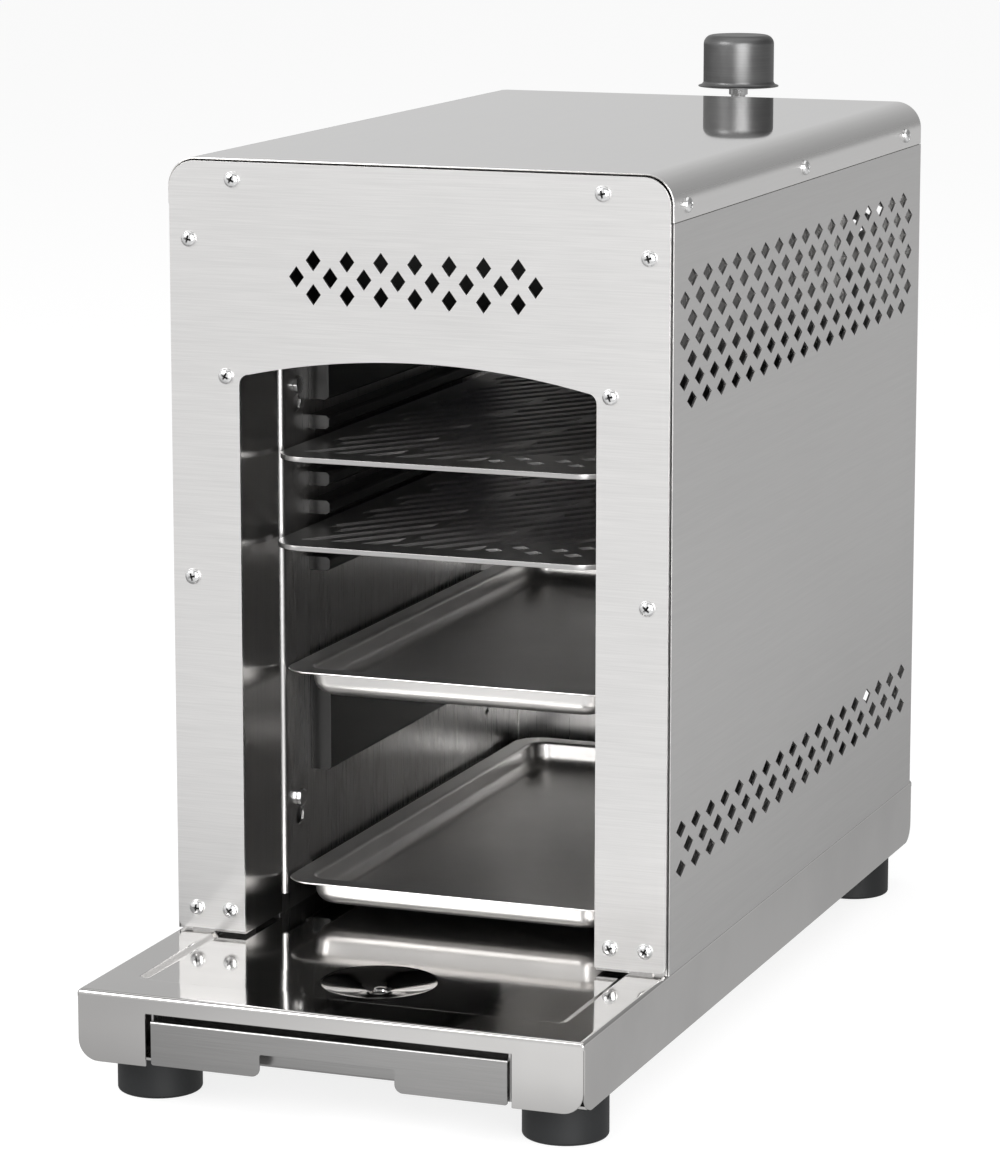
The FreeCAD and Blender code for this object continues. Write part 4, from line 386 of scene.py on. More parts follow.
def freeze(piece):
    """Turn a piece with its modifiers into a plain mesh."""
    graph = bpy.context.evaluated_depsgraph_get()
    piece_now = piece.evaluated_get(graph)
    mesh = bpy.data.meshes.new_from_object(piece_now, depsgraph=graph)
    piece.modifiers.clear()
    piece.data = mesh
    return piece


def bevelled(piece, width, segments=2, angle=40):
    """Round the edges of a piece, and freeze it."""
    bevel = piece.modifiers.new("rounded_edges", "BEVEL")
    bevel.width = width
    bevel.segments = segments
    bevel.limit_method = "ANGLE"
    bevel.angle_limit = math.radians(angle)
    bevel.harden_normals = False
    return freeze(piece)


def thickened(piece, gauge):
    """Give a skin its sheet thickness, on the inside of its normals."""
    solid = piece.modifiers.new("sheet", "SOLIDIFY")
    solid.thickness = gauge
    solid.offset = -1
    solid.use_even_offset = True
    return freeze(piece)


def tidy(piece, sharp=32, outwards=False):
    """Merge doubles, point faces outwards where asked, and mark what shades sharp."""
    shell = bmesh.new()
    shell.from_mesh(piece.data)
    bmesh.ops.remove_doubles(shell, verts=shell.verts, dist=2e-6)
    bmesh.ops.dissolve_degenerate(shell, edges=shell.edges, dist=1e-7)
    if outwards:
        bmesh.ops.recalc_face_normals(shell, faces=shell.faces)
    for face in shell.faces:
        face.smooth = True
    for edge in shell.edges:
        edge.smooth = len(edge.link_faces) == 2 and edge.calc_face_angle(0) < math.radians(sharp)
    shell.to_mesh(piece.data)
    shell.free()
    return piece


def vessel(piece, gauge, up):
    """Make an open vessel from a skin. Its sheet grows away from where its floor faces, up 1 or -1."""
    tidy(piece, outwards=True)
    if min(piece.data.polygons, key=lambda face: face.center.z).normal.z * up < 0:
        piece.data.flip_normals()
    return thickened(piece, gauge)


def dress(piece, finish, body="case", replaces=(), sharp=32):
    """Finish a piece, tie it to its body, and hide the CAD nodes that it stands for."""
    tidy(piece, sharp)
    flats = piece.modifiers.new("flats_stay_flat", "WEIGHTED_NORMAL")
    flats.keep_sharp = True
    flats.weight = 100
    freeze(piece)
    piece.data.materials.clear()
    piece.data.materials.append(finish)
    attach(piece, body)
    if replaces:
        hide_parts(*replaces)
    print(f"{piece.name}: {len(piece.data.polygons)} faces")


def joined(name, *pieces):
    """Join plain meshes into one piece."""
    shell = bmesh.new()
    for piece in pieces:
        shell.from_mesh(piece.data)
    mesh = bpy.data.meshes.new(name)
    shell.to_mesh(mesh)
    shell.free()
    for piece in pieces:
        bpy.data.objects.remove(piece)
    return new_object(name, mesh)


def arc(x, y, radius, start, end, steps=8):
    """Points on an arc, with its angles in degrees."""
    turns = [math.radians(start + (end - start) * step / steps) for step in range(steps + 1)]
    return [(x + radius * math.cos(turn), y + radius * math.sin(turn)) for turn in turns]


def rounded_ring(x, y, inset, height, radius, steps=8):
    """A level rectangle with rounded corners, from two (low, high) pairs drawn in by an inset."""
    x0, x1, y0, y1 = x[0] + inset, x[1] - inset, y[0] + inset, y[1] - inset
    corners = ((x1 - radius, y1 - radius), (x0 + radius, y1 - radius),
               (x0 + radius, y0 + radius), (x1 - radius, y0 + radius))
    return [(*point, height) for quarter, (x_mid, y_mid) in enumerate(corners)
            for point in arc(x_mid, y_mid, radius, quarter * 90, quarter * 90 + 90, steps)]


def loft(name, rings, cap=False, closed=True):
    """A skin through rings of 3-D points with equal counts. It may close with a flat cap."""
    count = len(rings[0])
    points = [point for ring in rings for point in ring]
    faces = []
    for ring in range(len(rings) - 1):
        for step in range(count if closed else count - 1):
            after = (step + 1) % count
            low, high = ring * count, (ring + 1) * count
            faces.append((low + step, low + after, high + after, high + step))
    if cap:
        faces.append(tuple(range(len(points) - count, len(points))))
    return object_from(name, points, faces)


def lathe(name, profile, middle, steps=64):
    """Turn a closed profile of (radius, height) about the upright axis through middle."""
    rings = []
    for step in range(steps):
        turn = math.tau * step / steps
        rings.append([(middle[0] + radius * math.cos(turn), middle[1] + radius * math.sin(turn), height)
                      for radius, height in profile])
    return tidy(loft(name, rings + [rings[0]]), outwards=True)


def rectangle(x0, x1, y0, y1):
    """The outline of a plain strip."""
    return [(x0, y0), (x1, y0), (x1, y1), (x0, y1)]


def slab(name, outline, thickness, matrix):
    """A flat plate over an outline, drawn in X and Y with its face up, then stood in place."""
    count = len(outline)
    points = [(x, y, 0) for x, y in outline] + [(x, y, thickness) for x, y in outline]
    faces = [tuple(reversed(range(count))), tuple(range(count, count * 2))]
    faces += [(step, (step + 1) % count, (step + 1) % count + count, step + count) for step in range(count)]
    piece = object_from(name, points, faces)
    piece.data.transform(matrix)
    return tidy(piece, outwards=True)


FACING_FRONT = Matrix(((1, 0, 0, 0), (0, 0, -1, 0), (0, 1, 0, 0), (0, 0, 0, 1)))
FACING_RIGHT = Matrix(((0, 0, 1, 0), (1, 0, 0, 0), (0, 1, 0, 0), (0, 0, 0, 1)))


def mirrored_copy(piece, name):
    """The left-hand twin of a right-hand piece."""
    mesh = piece.data.copy()
    mesh.transform(Matrix.Scale(-1, 4, (1, 0, 0)))
    mesh.flip_normals()
    return new_object(name, mesh)


def refined(node, way, finish, edge=0.0, body="case", sharp=32):
    """A copy of a CAD node whose triangles are merged into faces and whose edges are rounded.

    It is named after its node and the way it is made. edge is in millimetres."""
    piece = new_object(f"{node}_{way}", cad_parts[node].data.copy())
    shell = bmesh.new()
    shell.from_mesh(piece.data)
    bmesh.ops.remove_doubles(shell, verts=shell.verts, dist=5e-6)
    bmesh.ops.dissolve_limit(shell, angle_limit=math.radians(1), verts=shell.verts, edges=shell.edges)
    shell.to_mesh(piece.data)
    shell.free()
    if edge:
        bevelled(piece, edge * MM)
    dress(piece, finish, body, (node,), sharp)


# %% [markdown]
# ## Base
# The base is a shallow tray turned upside down: a bright top with a soft outer bend, a drip recess
# 1.6 mm deep, and a funnel that drains into the grease drawer. The top is lofted through rounded
# rings from the outer bend to the recess, and more rings, round the drain, sink the funnel. The four
# walls are separate sheets, so their corner seams show as they do on the real base.

# %% Sizes of the base
base_low, base_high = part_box("base_pan")
BASE_GAUGE = 1.2 * MM
RECESS_SIDE, RECESS_FLOOR, FRONT_MARGIN, REAR_MARGIN = 104.5, 54.9, 27, 32
recess = (Vector((-RECESS_SIDE, base_low.y / MM + FRONT_MARGIN, RECESS_FLOOR)) * MM,
          Vector((RECESS_SIDE, base_high.y / MM - REAR_MARGIN, RECESS_FLOOR)) * MM)
drain = Vector((0, base_low.y + 65 * MM, recess[0].z))
DRAIN_RADIUS, DRAIN_DEPTH, DRAIN_HOLE = 28 * MM, 5 * MM, 3.5 * MM
print("recess from", [round(v / MM, 1) for v in recess[0]], "to", [round(v / MM, 1) for v in recess[1]])


# %% Base top
BEND, BEND_ROUND = 2.2 * MM, 1.2 * MM
STEP_WIDTH, STEP_ROUND = 4.5 * MM, 5 * MM
base_x, base_y = (base_low.x, base_high.x), (base_low.y, base_high.y)
recess_x, recess_y = (recess[0].x, recess[1].x), (recess[0].y, recess[1].y)
rings = [rounded_ring(base_x, base_y, 0, base_high.z - BEND - 1.5 * MM, BEND_ROUND, 6)]
for step in range(7):
    turn = math.radians(90 * step / 6)
    inset, height = BEND * (1 - math.cos(turn)), base_high.z - BEND * (1 - math.sin(turn))
    rings.append(rounded_ring(base_x, base_y, inset, height, BEND_ROUND, 6))
for step in range(11):
    share = step / 10
    fall = share * share * (3 - 2 * share)
    height = base_high.z - (base_high.z - recess[0].z) * fall
    rings.append(rounded_ring(recess_x, recess_y, STEP_WIDTH * (share - 0.5), height, STEP_ROUND, 6))
top = loft("base_top", rings)

# %% Recess floor round the funnel, and the funnel
shell = bmesh.new()
shell.from_mesh(top.data)
last = [vertex for vertex in shell.verts if vertex.index >= len(top.data.vertices) - len(rings[0])]
count = 96


def drain_ring(radius, depth):
    """A ring of vertices round the middle of the drain."""
    turns = [math.tau * k / count for k in range(count)]
    return [shell.verts.new((drain.x + radius * math.cos(turn), drain.y + radius * math.sin(turn),
                             drain.z + depth)) for turn in turns]


rim = drain_ring(DRAIN_RADIUS, 0)
edges = [shell.edges.new((rim[k], rim[k - 1])) for k in range(count)]
edges += [edge for edge in shell.edges if edge.verts[0] in last and edge.verts[1] in last]
bmesh.ops.triangle_fill(shell, edges=edges, use_beauty=True, normal=(0, 0, 1))
bowl = [(DRAIN_RADIUS - 1.2 * MM, -0.25 * MM), (DRAIN_RADIUS - 2.2 * MM, -0.6 * MM)]
bowl += [(DRAIN_RADIUS * share, -DRAIN_DEPTH * (1 - share) ** 0.85 * 0.97) for share in (0.8, 0.6, 0.4, 0.25)]
bowl += [(DRAIN_HOLE + 1.4 * MM, -DRAIN_DEPTH * 0.93), (DRAIN_HOLE + 0.5 * MM, -DRAIN_DEPTH),
         (DRAIN_HOLE, -DRAIN_DEPTH - 0.7 * MM)]
before = rim
for radius, depth in bowl:
    ring = drain_ring(radius, depth)
    for k in range(count):
        shell.faces.new((before[k - 1], before[k], ring[k], ring[k - 1]))
    before = ring
shell.to_mesh(top.data)
shell.free()
tidy(top, outwards=True)
if sum(face.normal.z * face.area for face in top.data.polygons) < 0:
    top.data.flip_normals()
thickened(top, BASE_GAUGE * 0.8)
print("base top:", len(top.data.polygons), "faces")


# %% Base walls
WALL_TOP = base_high.z - BEND - 1.2 * MM
CORNER = 10 * MM
wall_low = base_low.z
opening = 90 * MM
opening_top = wall_low + 25.2 * MM


def wall_outline(low, high, cut=0.0):
    """A wall with rounded lower corners. A front wall also has the drawer opening."""
    outline = arc(low + CORNER, wall_low + CORNER, CORNER, 180, 270, 8)
    if cut:
        outline += [(-cut, wall_low), (-cut, opening_top), (cut, opening_top), (cut, wall_low)]
    outline += arc(high - CORNER, wall_low + CORNER, CORNER, 270, 360, 8)
    return outline + [(high, WALL_TOP), (low, WALL_TOP)]


def standing(matrix, x=0.0, y=0.0):
    """The same turn, moved along X and Y."""
    return Matrix.Translation((x, y, 0)) @ matrix


walls = [
    slab("front_wall", wall_outline(base_low.x + 0.4 * MM, base_high.x - 0.4 * MM, opening), BASE_GAUGE,
         standing(FACING_FRONT, y=base_low.y + BASE_GAUGE)),
    slab("rear_wall", wall_outline(base_low.x + 0.4 * MM, base_high.x - 0.4 * MM), BASE_GAUGE,
         standing(FACING_FRONT, y=base_high.y)),
    slab("right_wall", wall_outline(base_low.y + 1.4 * MM, base_high.y - 1.4 * MM), BASE_GAUGE,
         standing(FACING_RIGHT, x=base_high.x - BASE_GAUGE)),
    slab("left_wall", wall_outline(base_low.y + 1.4 * MM, base_high.y - 1.4 * MM), BASE_GAUGE,
         standing(FACING_RIGHT, x=base_low.x)),
]
for wall in walls:
    bevelled(wall, 0.35 * MM)
flanges = []
for sign in (-1, 1):
    x = sorted((sign * (base_high.x - 36 * MM), sign * (base_high.x - BASE_GAUGE)))
    outline = rectangle(*x, base_low.y + CORNER, base_high.y - CORNER)
    flanges.append(slab("flange", outline, BASE_GAUGE, Matrix.Translation((0, 0, wall_low))))
base = joined("base_folded_pan", top, *walls, *flanges)
dress(base, STEEL["base"], replaces=("base_pan",))

# %% [markdown]
# ## Feet
# Each foot is a moulded rubber puck with a soft edge and a recess for its screw. It is a body of
# revolution, so a lathe is the natural way to make it.

# %% Four feet
for row in ("front", "rear"):
    for side in ("left", "right"):
        low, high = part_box(f"foot_{row}_{side}")
        middle = (low + high) / 2
        r, h = (high.x - low.x) / 2, high.z
        profile = [(2.8 * MM, 9 * MM), (6 * MM, 9 * MM), (6 * MM, 0.3 * MM), (6.3 * MM, 0), (r - 1.6 * MM, 0)]
        profile += arc(r - 1.6 * MM, 1.6 * MM, 1.6 * MM, -80, 0, 6)
        profile += arc(r - 1.0 * MM, h - 1.0 * MM, 1.0 * MM, 0, 90, 5) + [(2.8 * MM, h)]
        foot = lathe(f"foot_{row}_{side}_moulded", profile, middle)
        dress(foot, RUBBER, replaces=(f"foot_{row}_{side}",))

# %% [markdown]
# ## Grease drawer
# A sheet front with a finger notch, folded back at its top so that no cut edge meets the hand, in
# front of a shallow open box. The fold is a strip swept round a small bend; the box keeps the CAD
# node's sizes.

# %% Drawer
low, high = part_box("grease_drawer")
front_y, front_z = low.y, (low.z, low.z + 21.2 * MM)
half, notch, notch_top, NOTCH_CORNER, GAUGE = high.x, 33.2 * MM, low.z + 10.7 * MM, 4 * MM, 1 * MM
FOLD = 1.6 * MM
corner = 1.2 * MM
outline = arc(-half + corner, front_z[0] + corner, corner, 180, 270, 4)
outline += arc(-notch - NOTCH_CORNER, front_z[0] + NOTCH_CORNER, NOTCH_CORNER, 270, 360, 6)
outline += arc(-notch + 1.0 * MM, notch_top - 1.0 * MM, 1.0 * MM, 180, 90, 4)
outline += arc(notch - 1.0 * MM, notch_top - 1.0 * MM, 1.0 * MM, 90, 0, 4)
outline += arc(notch + NOTCH_CORNER, front_z[0] + NOTCH_CORNER, NOTCH_CORNER, 180, 270, 6)
outline += arc(half - corner, front_z[0] + corner, corner, 270, 360, 4)
outline += [(half, front_z[1] - FOLD), (-half, front_z[1] - FOLD)]
face = bevelled(slab("drawer_face", outline, GAUGE, standing(FACING_FRONT, y=front_y + GAUGE)), 0.25 * MM)
body_half = 85.8 * MM
bend = [(front_y + FOLD - FOLD * math.cos(turn), front_z[1] - FOLD + FOLD * math.sin(turn))
        for turn in map(math.radians, range(0, 91, 15))]
bend = [(front_y, front_z[1] - FOLD - 0.2 * MM)] + bend + [(front_y + 9 * MM, front_z[1])]
fold = loft("drawer_fold", [[(x, y, z) for x in (-half, half)] for y, z in bend], closed=False)
if sum(strip.normal.z for strip in fold.data.polygons) < 0:
    fold.data.flip_normals()
thickened(fold, GAUGE)
tub_z, tub_y = base_low.z + 1.7 * MM + 1.2 * MM + 0.3 * MM, (front_y + 8 * MM, high.y)
wall_high = tub_z + 14 * MM
rings = []
for inset, height in ((0, wall_high), (0, tub_z + 1.5 * MM), (0.45 * MM, tub_z + 0.45 * MM),
                      (1.5 * MM, tub_z)):
    rings.append(rounded_ring((-body_half, body_half), tub_y, inset, height, 2 * MM, 4))
tub = vessel(loft("drawer_tub", rings, cap=True), GAUGE, -1)
outline = rectangle(-body_half, body_half, wall_high - 1 * MM, front_z[1] - GAUGE)
back_strip = slab("drawer_strip", outline, GAUGE, standing(FACING_FRONT, y=tub_y[0] + GAUGE))
drawer = joined("drawer_folded", face, fold, tub, back_strip)
dress(drawer, STEEL["drawer"], "drawer", ("grease_drawer",))

# %% [markdown]
# ## Vents and perforated sheet
# The vents are rhombic holes in staggered rows: every second row has one hole less and sits half a
# pitch along. Two small Geometry Nodes recipes make any such sheet. `vent_field` lays out the
# rhombi as curves from a few named sizes. `sheet_from_outline` fills the area between the outline
# and the holes, and gives it thickness. Cutting the holes with booleans would be slower, and less
# easy to change.

# %% Recipe class
class Recipe(Graph):
    """A Geometry Nodes tree with named inputs."""

    def __init__(self, name, sizes):
        tree = bpy.data.node_groups.new(name, "GeometryNodeTree")
        super().__init__(tree)
        tree.is_modifier = True
        tree.interface.new_socket("Geometry", in_out="INPUT", socket_type="NodeSocketGeometry")
        for label, kind in sizes.items():
            tree.interface.new_socket(label, in_out="INPUT", socket_type="NodeSocket" + kind)
        tree.interface.new_socket("Geometry", in_out="OUTPUT", socket_type="NodeSocketGeometry")
        self.entry = self.add("NodeGroupInput")

    def size(self, label):
        """One of the named inputs."""
        return self.out(self.entry, label)

    def together(self, *parts):
        """One geometry from several."""
        node = self.add("GeometryNodeJoinGeometry")
        for part in parts:
            self.tree.links.new(part.socket, node.inputs[0])
        return self.out(node)

    def deliver(self, geometry):
        """End the tree: real geometry with its material."""
        real = self.signal("GeometryNodeRealizeInstances", {}, {"Geometry": geometry})
        done = self.signal("GeometryNodeSetMaterial", {}, {
            "Geometry": real, "Material": self.size("Finish")})
        self.add("NodeGroupOutput", {}, {"Geometry": done})

    def put_on(self, piece, **sizes):
        """Add the recipe to a piece as a modifier, with its inputs set by identifier."""
        modifier = piece.modifiers.new(self.tree.name, "NODES")
        modifier.node_group = self.tree
        sockets = {item.name: item.identifier for item in self.tree.interface.items_tree
                   if item.item_type == "SOCKET" and item.in_out == "INPUT"}
        for name, value in sizes.items():
            modifier[sockets[name.replace("_", " ")]] = value


# %% Recipe: a field of vents
vent_field = Recipe("vent_field", {
    "Columns": "Int", "Rows": "Int", "Pitch": "Float", "Rise": "Float", "First": "Float", "Top": "Float",
    "Width": "Float", "Height": "Float", "Short First": "Int", "Finish": "Material"})
index = vent_field.signal("GeometryNodeInputIndex")
columns = vent_field.size("Columns")
row = ((index + 0.5) / columns).floor()
column = index - row * columns
short = (row + vent_field.size("Short First")) % 2.0
across = vent_field.size("First") + (column + short * 0.5) * vent_field.size("Pitch")
upwards = vent_field.size("Top") - row * vent_field.size("Rise")
spot = vent_field.signal("ShaderNodeCombineXYZ", {}, {"X": across, "Y": upwards})
points = vent_field.signal("GeometryNodePoints", {}, {
    "Count": columns * vent_field.size("Rows"), "Position": spot})
spare = short * ((column + 1.5) > columns)
kept = vent_field.signal("GeometryNodeDeleteGeometry", {"domain": "POINT"}, {
    "Geometry": points, "Selection": spare})
half_tall = vent_field.size("Height") * 0.5
kite = vent_field.signal("GeometryNodeCurvePrimitiveQuadrilateral", {"mode": "KITE"}, {
    "Width": vent_field.size("Width"), "Bottom Height": half_tall, "Top Height": half_tall})
placed = vent_field.signal("GeometryNodeInstanceOnPoints", {}, {"Points": kept, "Instance": kite})
vent_field.deliver(vent_field.together(vent_field.size("Geometry"), placed))

# %% Recipe: a sheet from its outline and holes
perforated = Recipe("sheet_from_outline", {"Thickness": "Float", "Finish": "Material"})
parts = perforated.add("GeometryNodeSeparateComponents", {}, {"Geometry": perforated.size("Geometry")})
outer = perforated.signal("GeometryNodeMeshToCurve", {}, {"Mesh": perforated.out(parts, "Mesh")})
loops = perforated.together(outer, perforated.out(parts, "Curve"))
filled = perforated.signal("GeometryNodeFillCurve", {}, {"Curve": loops})
offset = perforated.signal("ShaderNodeCombineXYZ", {}, {"Z": perforated.size("Thickness")})
lifted = perforated.signal("GeometryNodeExtrudeMesh", {"mode": "FACES"}, {
    "Mesh": filled, "Offset": offset, "Offset Scale": 1.0, "Individual": False})
under = perforated.signal("GeometryNodeFlipFaces", {}, {"Mesh": filled})
merged = perforated.signal("GeometryNodeMergeByDistance", {}, {
    "Geometry": perforated.together(lifted, under), "Distance": 1e-6})
perforated.deliver(merged)


def outline_object(name, outline):
    """A closed loop of edges, the start of a perforated sheet."""
    count = len(outline)
    edges = [(k, (k + 1) % count) for k in range(count)]
    return object_from(name, [(x, y, 0) for x, y in outline], [], edges)


print("recipes ready")

# %% [markdown]
# ## Face plate
# One flat plate, brushed across, with large upper corners, an arched window and a narrow band of
# vents above it. Its cut edge is softened by a third of a millimetre, which catches a thin line of
# light, and it sits a little below the cover's edge, so that a dark joint shows between the two.

# %% Face plate
low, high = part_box("face_plate")
REVEAL = Vector((0.6 * MM, 0, 1.4 * MM))
low.x, high.x, high.z = low.x + REVEAL.x, high.x - REVEAL.x, high.z - REVEAL.z
VENT_BAND = {"Columns": 8, "Rows": 3, "Pitch": 17 * MM, "Rise": 8 * MM, "First": -59.5 * MM, "Top": 385 * MM,
             "Width": 7.5 * MM, "Height": 10 * MM, "Short_First": 1}
window, shoulder, rise, turn = 89.3 * MM, 329.6 * MM, 9.4 * MM, 5 * MM
chord = window - turn
arch = (chord ** 2 + rise ** 2) / (2 * rise)
swing = math.degrees(math.asin(chord / arch))
outline = [(-window, low.z)] + arc(-chord, shoulder - turn, turn, 180, 90, 6)
outline += arc(0, shoulder + rise - arch, arch, 90 + swing, 90 - swing, 40)[1:-1]
outline += arc(chord, shoulder - turn, turn, 90, 0, 6) + [(window, low.z)]
FOOT_ROUND, HEAD_ROUND = 3 * MM, 13 * MM
outline += arc(high.x - FOOT_ROUND, low.z + FOOT_ROUND, FOOT_ROUND, 270, 360, 5)
outline += arc(high.x - HEAD_ROUND, high.z - HEAD_ROUND, HEAD_ROUND, 0, 90, 14)
outline += arc(low.x + HEAD_ROUND, high.z - HEAD_ROUND, HEAD_ROUND, 90, 180, 14)
outline += arc(low.x + FOOT_ROUND, low.z + FOOT_ROUND, FOOT_ROUND, 180, 270, 5)
plate = outline_object("face_plate_sheet", outline)
vent_field.put_on(plate, Finish=STEEL["face"], **VENT_BAND)
perforated.put_on(plate, Thickness=high.y - low.y, Finish=STEEL["face"])
freeze(plate)
plate.data.transform(standing(FACING_FRONT, y=high.y))
bevelled(plate, 0.3 * MM, 2, 50)
dress(plate, STEEL["face"], replaces=("face_plate",))

# %% [markdown]
# ## Side panels
# Each side is one sheet with seven rows of vents at the top and three at the bottom. The right one
# is made, and the left one is its mirror image with its faces turned out again.

# %% Side panels
low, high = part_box("side_panel_right")
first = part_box("face_plate")[0].y + 18.4 * MM
UPPER = {"Columns": 18, "Rows": 7, "Pitch": 22.3 * MM, "Rise": 9.45 * MM, "First": first, "Top": 381.5 * MM,
         "Width": 14.4 * MM, "Height": 8.4 * MM, "Short_First": 1}
LOWER = {**UPPER, "Rows": 3, "Top": 123.5 * MM, "Short_First": 0}
panel = outline_object("side_panel_right_sheet", rectangle(low.y, high.y, low.z, high.z))
vent_field.put_on(panel, Finish=STEEL["side"], **UPPER)
vent_field.put_on(panel, Finish=STEEL["side"], **LOWER)
perforated.put_on(panel, Thickness=1 * MM, Finish=STEEL["side"])
freeze(panel)
panel.data.transform(standing(FACING_RIGHT, x=high.x - 1 * MM))
lip = slab("panel_lip", rectangle(high.x - 13 * MM, high.x - 0.5 * MM, low.z, high.z), 1 * MM,
           standing(FACING_FRONT, y=low.y + 1 * MM))
panel = joined("side_panel_right_sheet", panel, lip)
twin = mirrored_copy(panel, "side_panel_left_sheet")
dress(panel, STEEL["side"], replaces=("side_panel_right",))
dress(twin, STEEL["side"], replaces=("side_panel_left",))

# %% [markdown]
# ## Top cover
# One sheet bent over the case with generous long edges, short side flanges, and a rear flange. It is
# lofted from its cross-section, and the last rings close the rear.

# %% Cover
low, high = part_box("top_cover")
R = 14 * MM


def cover_section(inset):
    """The cross-section of the cover, drawn in by an inset."""
    r = R - inset
    side, top_z = high.x - inset, high.z - inset
    left, right = arc(-side + r, top_z - r, r, 180, 90, 14), arc(side - r, top_z - r, r, 90, 0, 14)
    return [(-side, low.z)] + left + right + [(side, low.z)]


BACK_BEND, FRONT_BEND, FRONT_GAP = 1.5 * MM, 0.15 * MM, 0.3 * MM
rings = []
for step in range(5):
    turn_now = math.radians(90 * step / 4)
    rings.append([(x, low.y + FRONT_GAP + FRONT_BEND * (1 - math.cos(turn_now)), z)
                  for x, z in cover_section(FRONT_BEND * (1 - math.sin(turn_now)))])
for step in range(5):
    turn_now = math.radians(90 * step / 4)
    rings.append([(x, high.y - BACK_BEND + BACK_BEND * math.sin(turn_now), z)
                  for x, z in cover_section(BACK_BEND * (1 - math.cos(turn_now)))])
cover = loft("cover_bent_sheet", rings, cap=True, closed=False)
tidy(cover, outwards=True)
if max(cover.data.polygons, key=lambda p: p.center.z).normal.z < 0:
    cover.data.flip_normals()
thickened(cover, 0.7 * MM)
dress(cover, STEEL["cover"], replaces=("top_cover",))

# %% [markdown]
# ## Trays
# The trays are drawn from one sheet: a flat flange with round corners, a tight bend into the wall,
# and a wide bend into the floor. Rings of rounded rectangles follow that section, and Solidify
# gives the sheet its 1 mm.

# %% Two trays
def make_tray(level):
    """One tray as a lofted skin with thickness."""
    low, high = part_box(f"tray_{level}")
    flange, lip_bend, foot_bend, gauge = 11 * MM, 1.6 * MM, 6.5 * MM, 1 * MM
    floor_z = low.z + gauge
    section = [(0, high.z - 0.5 * MM), (0.15 * MM, high.z - 0.15 * MM), (0.5 * MM, high.z)]
    for step in range(6):
        turn = math.radians(90 * step / 5)
        section.append((flange - lip_bend + lip_bend * math.sin(turn),
                        high.z - lip_bend * (1 - math.cos(turn))))
    for step in range(9):
        turn = math.radians(90 * step / 8)
        section.append((flange + gauge * 0.6 + foot_bend * (1 - math.cos(turn)),
                        floor_z + foot_bend * (1 - math.sin(turn))))
    rings = []
    for inset, height in section:
        radius = max(15 * MM - inset * 0.45, 3 * MM)
        rings.append(rounded_ring((low.x, high.x), (low.y, high.y), inset, height, radius))
    tray = vessel(loft(f"tray_{level}_drawn", rings, cap=True), gauge, 1)
    dress(tray, STEEL["tray"], f"tray_{level}", (f"tray_{level}",))


for level in ("upper", "lower"):
    make_tray(level)

# %% [markdown]
# ## Screws
# Twenty-two pan-head screws hold the sheets. Their heads are one dome with a cross recess, set by
# Geometry Nodes on marked points: each point carries the direction of its head, and a seeded random
# turn, because no two screws stop at the same angle.

# %% One screw
SCREW_RADIUS, SCREW_HEIGHT, SCREW_RIM, SHANK_RADIUS = 3.8 * MM, 2.3 * MM, 0.5 * MM, 1.8 * MM
dome = [(0, -2 * MM), (SHANK_RADIUS, -2 * MM), (SHANK_RADIUS, 0), (SCREW_RADIUS - 0.15 * MM, 0),
        (SCREW_RADIUS, 0.2 * MM), (SCREW_RADIUS, SCREW_RIM)]
dome += [(SCREW_RADIUS * math.cos(turn) ** 0.8, SCREW_RIM + (SCREW_HEIGHT - SCREW_RIM) * math.sin(turn))
         for turn in map(math.radians, (15, 32, 50, 68, 82))] + [(0, SCREW_HEIGHT)]
screw = lathe("pan_head_screw", dome, (0, 0), 28)
bars = []
for turn in (0, 90):
    points = []
    for height, long, wide in ((0.75 * MM, 0.9 * MM, 0.28 * MM), (2.6 * MM, 2.35 * MM, 0.52 * MM)):
        points += [(sx * long, sy * wide, height) for sx, sy in ((-1, -1), (1, -1), (1, 1), (-1, 1))]
    faces = [(3, 2, 1, 0), (4, 5, 6, 7)] + [(k, (k + 1) % 4, (k + 1) % 4 + 4, k + 4) for k in range(4)]
    bar = object_from("cross_bar", points, faces)
    bar.data.transform(Matrix.Rotation(math.radians(turn), 4, "Z"))
    bars.append(bar)
for bar in bars:
    cut = screw.modifiers.new("cross", "BOOLEAN")
    cut.object = bar
    cut.solver = "EXACT"
freeze(screw)
for bar in bars:
    bpy.data.objects.remove(bar)
tidy(screw)
# The recess attribute marks the cross, which the screw finish colours near-black as painted shade.
depth = screw.data.attributes.new("recess", "FLOAT", "POINT")
depth.data.foreach_set("value", [
    float(SCREW_RIM < vertex.co.z < 1.0 * MM and vertex.co.to_2d().length < 2.6 * MM)
    for vertex in screw.data.vertices])
print("screw:", len(screw.data.polygons), "faces")

# %% Recipe: screws on marked points
screw_set = Recipe("screws_on_points", {
    "Screw": "Object", "Largest Turn": "Float", "Seed": "Int", "Finish": "Material"})
aim = screw_set.signal("GeometryNodeInputNamedAttribute", {"data_type": "FLOAT_VECTOR"},
                       {"Name": "aim"})
facing = screw_set.signal("FunctionNodeAlignRotationToVector", {"axis": "Z"}, {"Vector": aim})
random_turn = screw_set.signal("FunctionNodeRandomValue", {"data_type": "FLOAT"}, {
    2: 0.0, 3: screw_set.size("Largest Turn"), "Seed": screw_set.size("Seed")}, 1)
own_turn = screw_set.signal("ShaderNodeCombineXYZ", {}, {"Z": random_turn})
turned_screw = screw_set.signal("FunctionNodeEulerToRotation", {}, {"Euler": own_turn})
rotation = screw_set.signal("FunctionNodeRotateRotation", {"rotation_space": "LOCAL"}, {
    "Rotation": facing, "Rotate By": turned_screw})
part = screw_set.signal("GeometryNodeObjectInfo", {"transform_space": "ORIGINAL"}, {
    "Object": screw_set.size("Screw"), "As Instance": True}, "Geometry")
